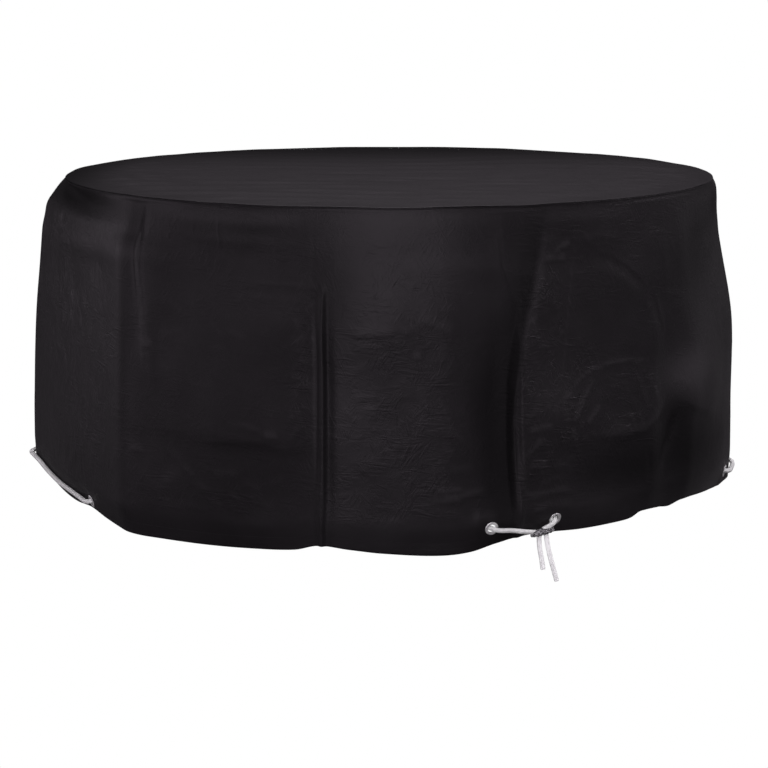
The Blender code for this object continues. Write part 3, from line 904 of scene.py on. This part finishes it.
def creaseHeight(azimuth, drop, rows):
    # each line lifts the cloth by its height, over its own width on either side
    around = np.radians(azimuth) * meanRadius
    down = drop / mm
    total = 0 * azimuth
    for left, right, height, line in rows:
        points = [(math.radians(turn) * meanRadius, level) for turn, level in line]
        reach = 3 * max(left, right)
        low = [min(point[axis] for point in points) - reach for axis in (0, 1)]
        high = [max(point[axis] for point in points) + reach for axis in (0, 1)]
        near = (around > low[0]) & (around < high[0]) & (down > low[1]) & (down < high[1])
        if not near.any():
            continue
        x, y = around[near], down[near]
        nearest = np.full(x.shape, 1e9)
        sides = np.zeros(x.shape)
        along = np.zeros(x.shape)
        lengths = [math.dist(a, b) for a, b in zip(points, points[1:])]
        travelled = 0
        for (ax, ay), (bx, by), length in zip(points, points[1:], lengths):
            t = np.clip(((x - ax) * (bx - ax) + (y - ay) * (by - ay)) / length**2, 0, 1)
            away = np.hypot(x - ax - t * (bx - ax), y - ay - t * (by - ay))
            side = (bx - ax) * (y - ay) - (by - ay) * (x - ax)
            closer = away < nearest
            nearest = np.where(closer, away, nearest)
            sides = np.where(closer, side, sides)
            along = np.where(closer, travelled + t * length, along)
            travelled += length
        width = np.where(sides < 0, left, right)
        taper = 0.33 * travelled
        ends = ease(along / taper) * ease((travelled - along) / taper)
        total[near] += height * mm * np.exp(-((nearest / width) ** 2)) * ends
    return total


def seamWave(azimuth):
    level = 0 * azimuth
    long, short = hillsRound(azimuth, level, 150, 11), hillsRound(azimuth, level, 60, 12)
    return 0.9 * mm * long + 0.5 * mm * short


def spacedColumns():
    fineStep = 0.01
    fine = np.arange(-180, 180, fineStep)
    front = ease((fine - skirtMesh["frontFrom"]) / skirtMesh["frontFade"])
    front *= ease((skirtMesh["frontTo"] - fine) / skirtMesh["frontFade"])
    step = skirtMesh["backStep"] + (skirtMesh["frontStep"] - skirtMesh["backStep"]) * front
    for centre, half in sharpPlaces:
        near = ease(2 - np.abs(fine - centre) / half)
        step = step + (skirtMesh["sharpStep"] - step) * near
    filled = np.cumsum(fineStep / step)
    count = skirtMesh["liningColumns"] * round(filled[-1] / skirtMesh["liningColumns"])
    return np.interp(np.arange(count) * filled[-1] / count, filled, fine)


def localLow(values, reach, wrap):
    # the lowest value among the neighbours, round the cover and down it
    lowest = values.copy()
    for shift in range(-reach, reach + 1):
        moved = np.roll(values, shift, 0) if wrap else values
        lowest = np.minimum(lowest, moved)
    again = lowest.copy()
    padded = np.pad(lowest, ((0, 0), (reach, reach)), mode="edge")
    for shift in range(2 * reach + 1):
        again = np.minimum(again, padded[:, shift:shift + values.shape[1]])
    return again


def closedSheet(name, outer, inner, maps, facts, middle=None):
    # outer and inner are grids of points, closed round the cover; the inner one has fewer
    # columns. Both are joined along their last rows, and along their first rows too, or each
    # ends in its own middle point
    columns, rows = outer.shape[:2]
    innerColumns, innerRows = inner.shape[:2]
    ratio = columns // innerColumns
    start = columns * rows
    vertices = [outer.reshape(-1, 3), inner.reshape(-1, 3)]
    faces = []
    firsts = []
    for first, count, depth in ((0, columns, rows), (start, innerColumns, innerRows)):
        a = first + np.arange(count) * depth
        b = np.roll(a, -1)
        firsts.append((a, b))
        for row in range(depth - 1):
            loop = [a, b, b + 1, a + 1] if first == 0 else [a, a + 1, b + 1, b]
            faces += (np.stack(loop, 1) + row).tolist()
    bridges = [(rows - 1, innerRows - 1)]
    if middle is None:
        bridges.append((0, 0))
    else:
        vertices.append(np.array(middle))
        for last, (a, b) in enumerate(firsts, start + innerColumns * innerRows):
            faces += np.stack([a, b, last + 0 * a], 1).tolist()
    vertices = np.concatenate(vertices)
    for outerRow, innerRow in bridges:
        for number in range(innerColumns):
            near = start + number * innerRows + innerRow
            far = start + (number + 1) % innerColumns * innerRows + innerRow
            run = [(number * ratio + step) % columns * rows + outerRow for step in range(ratio + 1)]
            for step in range(ratio):
                faces.append((run[step], run[step + 1], near if step < ratio / 2 else far))
            faces.append((run[(ratio + 1) // 2], far, near))
    piece = addMesh(name, vertices, faces)
    mesh = piece.data
    turnOutwards(mesh)
    mesh.shade_smooth()
    used = np.empty(len(mesh.loops), np.int32)
    mesh.loops.foreach_get("vertex_index", used)
    starts = np.empty(len(mesh.polygons), np.int32)
    mesh.polygons.foreach_get("loop_start", starts)
    counts = np.diff(np.append(starts, len(used)))
    for mapName, (outerMap, innerMap) in maps.items():
        values = [outerMap.reshape(-1, 2), innerMap.reshape(-1, 2)]
        if middle is not None:
            values.append(np.array(middle)[:, :2])
        values = np.concatenate(values)[used]
        # a face across the back's seam keeps one side of the map
        highest = np.maximum.reduceat(values[:, 0], starts)
        behind = np.repeat(highest, counts) - values[:, 0] > circumference / 2
        values[behind, 0] += circumference
        layer = mesh.uv_layers.new(name=mapName)
        layer.data.foreach_set("uv", values.astype(np.float32).ravel())
    for factName, (outerFact, innerFact) in facts.items():
        layer = mesh.attributes.new(factName, "FLOAT", "POINT")
        values = np.concatenate([outerFact.ravel(), innerFact.ravel()])
        values = np.append(values, [values[0]] * (0 if middle is None else 2))
        layer.data.foreach_set("value", values.astype(np.float32))
    return piece


def clearOfCords(points):
    # 0 beside the cord or an eyelet, 1 away from them, so that wrinkles fade out there
    tree = KDTree(sum(len(route) for _, route in cords) + len(eyelets))
    for number, point in enumerate([point for _, route in cords for point in route]):
        tree.insert(point, number)
    for centre, _ in eyeletMiddles():
        tree.insert(centre, 0)
    tree.balance()
    away = np.array([tree.find(point)[2] for point in points.reshape(-1, 3)])
    clear = ease((away - skirtMesh["clearFrom"]) / skirtMesh["clearFade"])
    return clear.reshape(points.shape[:2])


def skirtDrops(columns, hemLine):
    # the rows of the mesh: the seam, the body and the hem
    first, last = skirtMesh["bodyFrom"], hemLine - skirtMesh["hemFold"]
    body = np.linspace(0, 1, skirtMesh["bodyRows"]) ** skirtMesh["rowSpread"]
    drops = [0 * columns + drop * mm for drop, _ in skirtMesh["seamRows"]]
    drops += [first + (last - first) * share for share in body]
    drops += [hemLine - above * mm for above in skirtMesh["aboveHem"]]
    return np.stack(drops, 1)


def easedRadii(azimuths, drops, aboveHem):
    # the levels of the drape are eased into each other, away from the shoulder and the hem
    window = ease((drops - skirtMesh["easeFrom"]) / skirtMesh["easeFade"])
    window *= ease(aboveHem / skirtMesh["easeHem"] - 1) * skirtMesh["easing"]
    shares = np.linspace(-1, 1, 7)
    weights = (1.15 - np.abs(shares)) / (1.15 - np.abs(shares)).sum()
    return sum(
        weight * clothRadius(azimuths, drops + share * window)
        for share, weight in zip(shares, weights)
    )


def skirtRelief(azimuths, drops, aboveHem, radii, strength, clear):
    # how far swells, creases, seam and stitches lift the cloth off its drape
    wide, middling, small = (
        height * mm * hillsRound(azimuths, drops, size, seed, tall)
        for size, height, seed, tall in skirtHills
    )
    broad = wide + middling * (0.4 + strength)
    broad += small * patchSum(azimuths, drops, mottledPatches)
    (first, reach), kept = skirtMesh["hillsFrom"], skirtMesh["creaseKept"]
    height = broad * ease((drops - first) / reach) * clear
    first, reach = skirtMesh["swellsFrom"]
    height += patchSum(azimuths, drops, swells) * mm * ease((drops - first) / reach) * clear
    height += creaseHeight(azimuths, drops, scatteredCreases()) * clear
    height += creaseHeight(azimuths, drops, handCreases) * (kept + (1 - kept) * clear)
    # the cloth leaves the seam in one even slope
    straight = clothRadius(azimuths, 0 * drops + skirtMesh["evenTo"])
    straight = cloth["topRadius"] + (straight - cloth["topRadius"]) * drops / skirtMesh["evenTo"]
    even = ease(2 * (1 - drops / skirtMesh["evenTo"]))
    rounded = np.clip(patchSum(azimuths, drops, roundedPatches), 0, 1)
    height += (straight - radii) * even * skirtMesh["evenShare"] * (1 - rounded)
    (tall, fade, lift), (half, dent) = skirtMesh["hemBand"], skirtMesh["stitchDent"]
    hemBand = ease((tall - aboveHem) / fade)
    stitch = np.exp(-(((aboveHem - skirtMesh["stitchLine"]) / half) ** 2))
    return height + (lift * hemBand - dent * stitch) * clear


def skirtLining(columns, drops, radii):
    # the cloth's inner face, on fewer columns and rows
    low = localLow(radii, 3, True) - cloth["thickness"]
    edge = skirtMesh["liningEdge"]
    rows = everyThird(len(skirtMesh["seamRows"]) + 1, drops.shape[1])
    innerDrops = [0 * columns + drop * mm for drop, _ in edge] + [drops[:, row] for row in rows]
    innerRadii = [0 * columns + radius * mm for _, radius in edge] + [low[:, row] for row in rows]
    share = skirtMesh["liningColumns"]
    innerDrops, innerRadii = np.stack(innerDrops, 1)[::share], np.stack(innerRadii, 1)[::share]
    innerRadii[:, -1] = radii[::share, -1] - skirtMesh["liningUnder"]
    return np.repeat(columns[::share, None], innerDrops.shape[1], 1), innerDrops, innerRadii


def everyThird(first, count):
    rows = list(range(first, count, skirtMesh["liningRows"]))
    return rows if rows[-1] == count - 1 else rows + [count - 1]


def raisedParts(height):
    # lighter where the cloth folds outwards
    smooth = height.copy()
    for _ in range(3):
        smooth = (np.roll(smooth, 1, 0) + np.roll(smooth, -1, 0) + smooth * 2) / 4
        edge = np.pad(smooth, ((0, 0), (1, 1)), mode="edge")
        smooth = (edge[:, :-2] + edge[:, 2:] + smooth * 2) / 4
    return np.clip((height - smooth) / (0.5 * mm), 0, 1)


def oneMore(rows, last):
    return np.concatenate([rows, last], 1)


def buildSkirt():
    columns = spacedColumns()
    hemLine = hemDrop(columns)
    drops = skirtDrops(columns, hemLine)
    aboveHem = hemLine[:, None] - drops
    azimuths = np.repeat(columns[:, None], drops.shape[1], 1)
    radii = easedRadii(azimuths, drops, aboveHem)
    clear = clearOfCords(position(azimuths, drops, radii))
    strength = crumpleStrength(azimuths, drops)
    height = skirtRelief(azimuths, drops, aboveHem, radii, strength, clear)
    radii = radii + height
    for row, (_, off) in enumerate(skirtMesh["seamRows"]):
        radii[:, row] = cloth["topRadius"] + off * mm
    wave = seamWave(azimuths) * ease(1 - drops / cloth["waveReach"])
    drops = drops - wave * ease(drops / skirtMesh["waveFrom"])
    innerAzimuths, innerDrops, innerRadii = skirtLining(columns, drops, radii)
    # the hem is turned under: one more row rounds its edge
    azimuths, drops = oneMore(azimuths, azimuths[:, :1]), oneMore(drops, hemLine[:, None])
    radii = oneMore(radii, radii[:, -1:] - skirtMesh["turnedUnder"])
    wearAndPaintedLight = raisedParts(height)
    # lighter on the raised folds, with light painted on in the patches
    wearAndPaintedLight = oneMore(wearAndPaintedLight, wearAndPaintedLight[:, -1:]) + patchSum(azimuths, drops, paintedLightPatches)
    crumple = oneMore(strength * clear, (strength * clear)[:, -1:])
    # painted shade: darker in the patches and along the deep fold
    paintedShade = patchSum(azimuths, drops, paintedShadePatches)
    paintedShade += creaseHeight(azimuths, drops, paintedShadeFolds) / mm
    facts = {
        "wearAndPaintedLight": (wearAndPaintedLight, 0 * innerDrops),
        "crumple": (crumple, 0.3 + 0 * innerDrops),
        "paintedShade": (np.clip(paintedShade, 0, 1), 0.3 + 0 * innerDrops),
    }
    along, innerAlong = (np.radians(part) * meanRadius * mm for part in (azimuths, innerAzimuths))
    maps = {
        "fabric": (np.stack([along, drops], -1), np.stack([innerAlong, innerDrops], -1)),
        "hemMap": (
            np.stack([along, hemLine[:, None] - drops], -1),
            np.stack([innerAlong, 1 + 0 * innerDrops], -1),
        ),
    }
    outer = position(azimuths, drops, radii)
    inner = position(innerAzimuths, innerDrops, innerRadii)
    skirt = closedSheet("skirtCloth", outer, inner, maps, facts)
    cutHoles(skirt)
    skirt.data.materials.append(clothFinish("coatedCloth", skirtLook, True))
    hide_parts("skirt")
    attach(skirt, "root")
    print("skirt built,", len(skirt.data.polygons), "faces")
    return skirt


def cutHoles(skirt):
    # the eyelets' holes, with one cylinder for each
    bpy.ops.object.select_all(action="DESELECT")
    cutters = []
    for centre, normal in eyeletMiddles():
        bpy.ops.mesh.primitive_cylinder_add(
            vertices=ring["holeSides"], radius=ring["bore"] + ring["wall"] + ring["gap"],
            depth=ring["holeDepth"], location=centre,
            rotation=normal.to_track_quat("Z", "Y").to_euler(),
        )
        cutters.append(bpy.context.object)
    cutter = joined(cutters)
    bpy.ops.object.select_all(action="DESELECT")
    bpy.context.view_layer.objects.active = skirt
    skirt.select_set(True)
    boolean = skirt.modifiers.new("holes", "BOOLEAN")
    boolean.operation = "DIFFERENCE"
    boolean.solver = "MANIFOLD"
    boolean.object = cutter
    bpy.ops.object.modifier_apply(modifier=boolean.name)
    bpy.data.objects.remove(cutter)
    skirt.data.materials.clear()


skirtPiece = buildSkirt()


topMesh = {
    "columns": 432,
    "rings": 76,
    "ringStart": 6 * mm,
    "flatTo": 702 * mm,
    "foldFade": 90 * mm,
    "flatRise": 1.6 * mm,
    # the share of the deepest dip that the folds are raised by, and how far down they may go
    "raisedBy": 0.6,
    "lowest": -0.1 * mm,
    # the middle of the folds, and where those of the ends start and grow to their full height
    "foldMiddle": -0.02,
    "endsFrom": 0.33,
    "endsFade": 0.3,
    # radius, and how high over the drape's zero
    "edgeRows": ((705.5, 1.55), (708, 1.3), (709.9, 0.9), (710.7, 0.35), (710.2, -0.05)),
    "liningEdge": (707, -0.02),
    # least and growth towards the left and right ends, where it starts, over what length
    "crumple": (0.25, 0.6, 0.3, 0.35),
    # how light the top is painted as a sheen, how much lighter where it rises and by what rise, and
    # more at the rim
    "wearAndPaintedLight": (0.7, 0.3, 2.5 * mm, 0.15),
    # how far from the middle the painted shade is darkest, and over what length it fades in,
    # towards the back and the left
    "shadeBack": (0.72, 0.75),
    "shadeLeft": (0.72, 0.20),
}
# direction of the ups and downs (90 = lines run left to right), distance, slope, how long the
# folds are against their width
topFolds = (
    (90, 62, 0.03, 3.5), (84, 44, 0.028, 3), (97, 80, 0.03, 3), (88, 34, 0.022, 4),
    (76, 90, 0.03, 3), (104, 56, 0.03, 3), (92, 120, 0.04, 3),
)
# the same, for the left and right ends
topEndFolds = ((70, 46, 0.10, 2.4), (112, 54, 0.10, 2.4), (48, 70, 0.07, 2), (135, 62, 0.07, 2))


def topHeight(x, y):
    total = 0 * x
    aside = np.abs(x - topMesh["foldMiddle"])
    ends = ease((aside - topMesh["endsFrom"]) / topMesh["endsFade"])
    for rows, share in ((topFolds, 1 + 0 * x), (topEndFolds, ends)):
        for number, (turn, wave, slope, long) in enumerate(rows):
            turn, wide = math.radians(turn), wave * mm
            across = x * math.cos(turn) + y * math.sin(turn)
            along = -x * math.sin(turn) + y * math.cos(turn)
            row = along / (wide * long)
            bend = hills(row + 50, across / (wide * 3) + 50, 80 + number)
            there = hills(row + 90, across / (wide * 1.3) + 90, 95 + number)
            ridge = softRidge(across / wide + 0.7 * bend)
            total = total + slope * wide / 2 * ridge * ease(0.45 + 0.9 * there) * share
    return total


def buildTop():
    columns = np.arange(-180, 180, 360 / topMesh["columns"])
    rings = np.linspace(topMesh["ringStart"], topMesh["flatTo"], topMesh["rings"])
    azimuths = np.repeat(columns[:, None], len(rings), 1)
    radii = np.repeat(rings[None, :], len(columns), 0)
    flat = position(azimuths, 0 * radii, radii)
    height = topHeight(flat[..., 0], flat[..., 1])
    height = height - height.min() * topMesh["raisedBy"]
    height *= ease((topMesh["flatTo"] - radii) / topMesh["foldFade"])
    height = np.maximum(height, topMesh["lowest"])
    lift = seamWave(azimuths) * ease(1 - (cloth["topRadius"] - radii) / cloth["waveReach"])
    rise = topMesh["flatRise"] + height + lift
    # the outer face folds over the seam, and the inner one stays under it
    rimLift = lift[:, -1]
    under = localLow(rise, 2, True) - cloth["thickness"]

    def ringAt(radius, up):
        return position(columns, -(up * mm) - rimLift, 0 * columns + radius * mm)

    top = position(azimuths, -rise, radii)
    edge = [ringAt(*row)[:, None] for row in topMesh["edgeRows"]]
    outer = np.concatenate([top, *edge], 1)
    rows = everyThird(0, len(rings))
    inner = [position(columns, -under[:, row], 0 * columns + rings[row]) for row in rows]
    inner = np.stack([*inner, ringAt(*topMesh["liningEdge"])], 1)[::2]
    # the top is painted lighter as a sheen, more where it rises and at the rim
    even, raised, rising, atRim = topMesh["wearAndPaintedLight"]
    wearAndPaintedLight = even + raised * np.clip((height - height.mean()) / rising, -1, 1)
    wearAndPaintedLight = oneMore(wearAndPaintedLight, np.repeat(wearAndPaintedLight[:, -1:], len(edge), 1) + atRim)
    least, growth, first, length = topMesh["crumple"]
    crumple = least + growth * ease((np.abs(outer[..., 0]) - first) / length)
    innerSide = inner[..., 0] * 0
    # painted shade: the top is darker towards the back and the left
    (back, backFade), (left, leftFade) = topMesh["shadeBack"], topMesh["shadeLeft"]
    clearOfShade = ease((back - outer[..., 1]) / backFade) * ease((outer[..., 0] + left) / leftFade)
    facts = {
        "wearAndPaintedLight": (wearAndPaintedLight, innerSide),
        "crumple": (crumple, innerSide + 0.3),
        "paintedShade": (1 - clearOfShade, innerSide),
    }
    maps = {"fabric": (outer[..., :2], inner[..., :2])}
    middle = [(0, 0, outer[:, 0, 2].mean()), (0, 0, inner[:, 0, 2].mean())]
    panel = closedSheet("topPanelCloth", outer, inner, maps, facts, middle)
    panel.data.materials.append(clothFinish("coatedClothTop", topLook, False))
    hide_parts("top_panel")
    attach(panel, "root")
    print("top panel built,", len(panel.data.polygons), "faces")
    return panel


topPiece = buildTop()


ringLook = {
    "light": (0.86, 0.87, 0.86, 1),
    "grey": (0.60, 0.61, 0.60, 1),
    "metallic": 0.6,
    "scratchDepth": 0.05 * mm,
}


def ringFinish():
    finish = Finish("eyeletMetal")
    spotPlace = finish.objectPlace()
    dull = finish.noise(spotPlace, 140, 4, 0.65)
    scratch = finish.noise(finish.scaled(spotPlace, (1, 1, 9)), 420, 2, 0.6)
    colour = finish.blend(dull.smooth(0.35, 0.7), ringLook["light"], ringLook["grey"])
    finish.give("Base Color", colour)
    finish.give("Metallic", ringLook["metallic"])
    finish.give("Roughness", 0.24 + dull * 0.22)
    finish.give("Normal", finish.bump(scratch, ringLook["scratchDepth"], 0.4))
    return finish.material


def buildEyelets():
    # half a section of the ring, turned about its axis
    outer, bore, wall = ring["radius"], ring["bore"], ring["bore"] + ring["wall"]
    inner = cloth["thickness"] / 2 + ring["gap"]
    face = inner + ring["flange"]
    section = (
        (outer, inner), (wall, inner), (wall, -inner), (outer, -inner), (outer, -face * 0.72),
        (outer - 1.0 * mm, -face), (bore + 1.2 * mm, -face), (bore, -face * 0.55),
        (bore, face * 0.55), (bore + 1.2 * mm, face), (outer - 1.0 * mm, face),
        (outer, face * 0.72),
    )
    bpy.ops.object.select_all(action="DESELECT")
    bpy.ops.mesh.primitive_circle_add(vertices=len(section), radius=1 * mm)
    first = bpy.context.object
    for vertex, (out, up) in zip(first.data.vertices, section):
        vertex.co = (out, 0, up)
    bpy.ops.object.mode_set(mode="EDIT")
    bpy.ops.mesh.select_all(action="SELECT")
    bpy.ops.mesh.spin(steps=ring["steps"], angle=2 * math.pi, center=(0, 0, 0), axis=(0, 0, 1))
    bpy.ops.mesh.select_all(action="SELECT")
    bpy.ops.mesh.remove_doubles(threshold=0.02 * mm)
    bpy.ops.mesh.normals_make_consistent(inside=False)
    bpy.ops.object.mode_set(mode="OBJECT")
    rounding = first.modifiers.new("rounding", "BEVEL")
    rounding.width = ring["rounding"]
    rounding.segments = 2
    rounding.limit_method = "ANGLE"
    rounding.angle_limit = math.radians(38)
    bpy.ops.object.modifier_apply(modifier=rounding.name)
    bpy.ops.object.shade_smooth_by_angle(angle=math.radians(35))
    finish = ringFinish()
    for number, (centre, normal) in enumerate(eyeletMiddles(), 1):
        copy = first.copy()
        copy.data = first.data.copy()
        copy.name = f"eyeletRing{number}"
        bpy.context.scene.collection.objects.link(copy)
        turn = normal.to_track_quat("Z", "Y").to_matrix().to_4x4()
        copy.data.transform(Matrix.Translation(centre) @ turn)
        copy.data.materials.append(finish)
        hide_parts(f"eyelet_{number}")
        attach(copy, "root")
    bpy.data.objects.remove(first)
    print("eyelets built")


buildEyelets()


knot = {
    "azimuth": 24.5, "drop": 654.5, "lift": 13 * mm, "tilt": 9,
    "halfLength": 25 * mm, "strands": 3, "orbit": 4.3 * mm, "turns": 2.2, "steps": 64,
    # radius, sides, relief, waves round it and their pitch
    "strand": (3.5 * mm, 10, 0.25 * mm, 4, 9 * mm),
    "dark": (0.02, 0.02, 0.022, 1), "pale": (0.44, 0.44, 0.45, 1), "relief": 0.7 * mm,
}


def knotFinish():
    finish = Finish("greyKnot")
    u, v = finish.along()
    yarn = (u * (2 * math.pi / (2.6 * mm)) + v * (2 * math.pi * 3)).sine()
    fleck = finish.noise(finish.objectPlace(), 260, 2, 0.7)
    share = (fleck.smooth(0.42, 0.64) * 0.95 + yarn * 0.10).clamped()
    finish.give("Base Color", finish.blend(share, knot["dark"], knot["pale"]))
    finish.give("Roughness", 0.6 + fleck * 0.25)
    finish.give("Normal", finish.bump(yarn + fleck, knot["relief"], 0.8))
    return finish.material


def buildKnot():
    face, outward = (Vector(part) for part in clothFrame(knot["azimuth"], knot["drop"] * mm))
    along = Vector((0, 0, 1)).cross(outward).normalized()
    turned = Matrix((along, outward, along.cross(outward))).transposed()
    turned @= Matrix.Rotation(math.radians(knot["tilt"]), 3, "Y")
    frameMatrix = Matrix.Translation(face + outward * knot["lift"]) @ turned.to_4x4()
    strands = []
    for number in range(knot["strands"]):
        points = []
        for step in range(knot["steps"] + 1):
            share = step / knot["steps"] * 2 - 1
            angle = 2 * math.pi * (knot["turns"] * share / 2 + number / knot["strands"])
            swell = math.sqrt(max(1 - share * share * 0.8, 0.1))
            orbit = knot["orbit"] * swell
            points.append(frameMatrix @ Vector((
                share * knot["halfLength"], orbit * math.cos(angle), orbit * math.sin(angle),
            )))
        strands.append(buildRope(f"strand{number}", points, *knot["strand"]))
    piece = joined(strands)
    piece.name = "tiedKnot"
    piece.data.materials.clear()
    piece.data.materials.append(knotFinish())
    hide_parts("knot")
    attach(piece, "root")
    print("knot built")
    return piece


knotPiece = buildKnot()
declareCords(cords)


# bounce and surround light the cover, while the camera sees both plain white
stage = {"floorDrop": 0.86, "floorSize": 60, "bounce": 0.10, "surround": 0.02}


def buildStage():
    bpy.ops.object.select_all(action="DESELECT")
    bpy.ops.mesh.primitive_plane_add(size=stage["floorSize"], location=(0, 0, -stage["floorDrop"]))
    floor = bpy.context.object
    floor.name = "floor"
    finish = Finish("paleFloor")
    finish.give("Base Color", (stage["bounce"],) * 3 + (1,))
    finish.give("Roughness", 0.9)
    surface = Wire(finish, finish.shader.outputs[0])
    seen = finish.node("ShaderNodeLightPath", output="Is Camera Ray")
    glow = finish.node("ShaderNodeEmission")
    mix = finish.node("ShaderNodeMixShader", None, {0: seen, 1: surface, 2: glow})
    finish.put(finish.tree.nodes["Material Output"].inputs["Surface"], mix)
    floor.data.materials.append(finish.material)
    world = bpy.data.worlds.new("studio")
    bpy.context.scene.world = world
    world.use_nodes = True
    tree = world.node_tree
    background = tree.nodes["Background"]
    ray = tree.nodes.new("ShaderNodeLightPath")
    strength = tree.nodes.new("ShaderNodeMapRange")
    strength.inputs["To Min"].default_value = stage["surround"]
    strength.inputs["To Max"].default_value = 1.0
    tree.links.new(ray.outputs["Is Camera Ray"], strength.inputs["Value"])
    tree.links.new(strength.outputs[0], background.inputs["Strength"])
    background.inputs["Color"].default_value = (1, 1, 1, 1)


# azimuth and elevation in degrees, distance, width, height, power. The low one at the back
# stays under the level of the top, and lights the back panels only
lights = {
    "leftBack": (-108, 8, 5, 2.0, 2.0, 26),
    "leftFront": (-75, 8, 5, 2.0, 2.0, 34),
    "front": (-4, 11, 5, 4.2, 2.5, 106),
    "frontTop": (0, 38, 5, 2.4, 2.4, 52),
    "backTop": (180, 65, 5, 2.4, 2.4, 138),
    "rightTop": (90, 38, 5, 2.4, 2.4, 135),
    "rightBack": (130, 8, 5, 2.6, 2.0, 4),
    "backLow": (180, 0, 5, 1.6, 0.5, 130),
}
lightAim = Vector((0, 0, -0.3))


def setLights():
    for name, (azimuth, elevation, distance, width, height, power) in lights.items():
        data = bpy.data.lights.new(name, "AREA")
        data.shape = "ELLIPSE"
        data.size, data.size_y = width, height
        data.energy = power
        data.color = (1, 0.90 if name.startswith("left") else 0.93, 1)
        lamp = bpy.data.objects.new(name, data)
        bpy.context.scene.collection.objects.link(lamp)
        azimuth, elevation = math.radians(azimuth), math.radians(elevation)
        level, up = distance * math.cos(elevation), distance * math.sin(elevation)
        away = Vector((level * math.sin(azimuth), -level * math.cos(azimuth), up))
        lamp.location = lightAim + away
        lamp.rotation_euler = (-away).to_track_quat("-Z", "Y").to_euler()
    bpy.context.scene.view_settings.view_transform = "Standard"
    print("stage and lights set")


buildStage()
setLights()
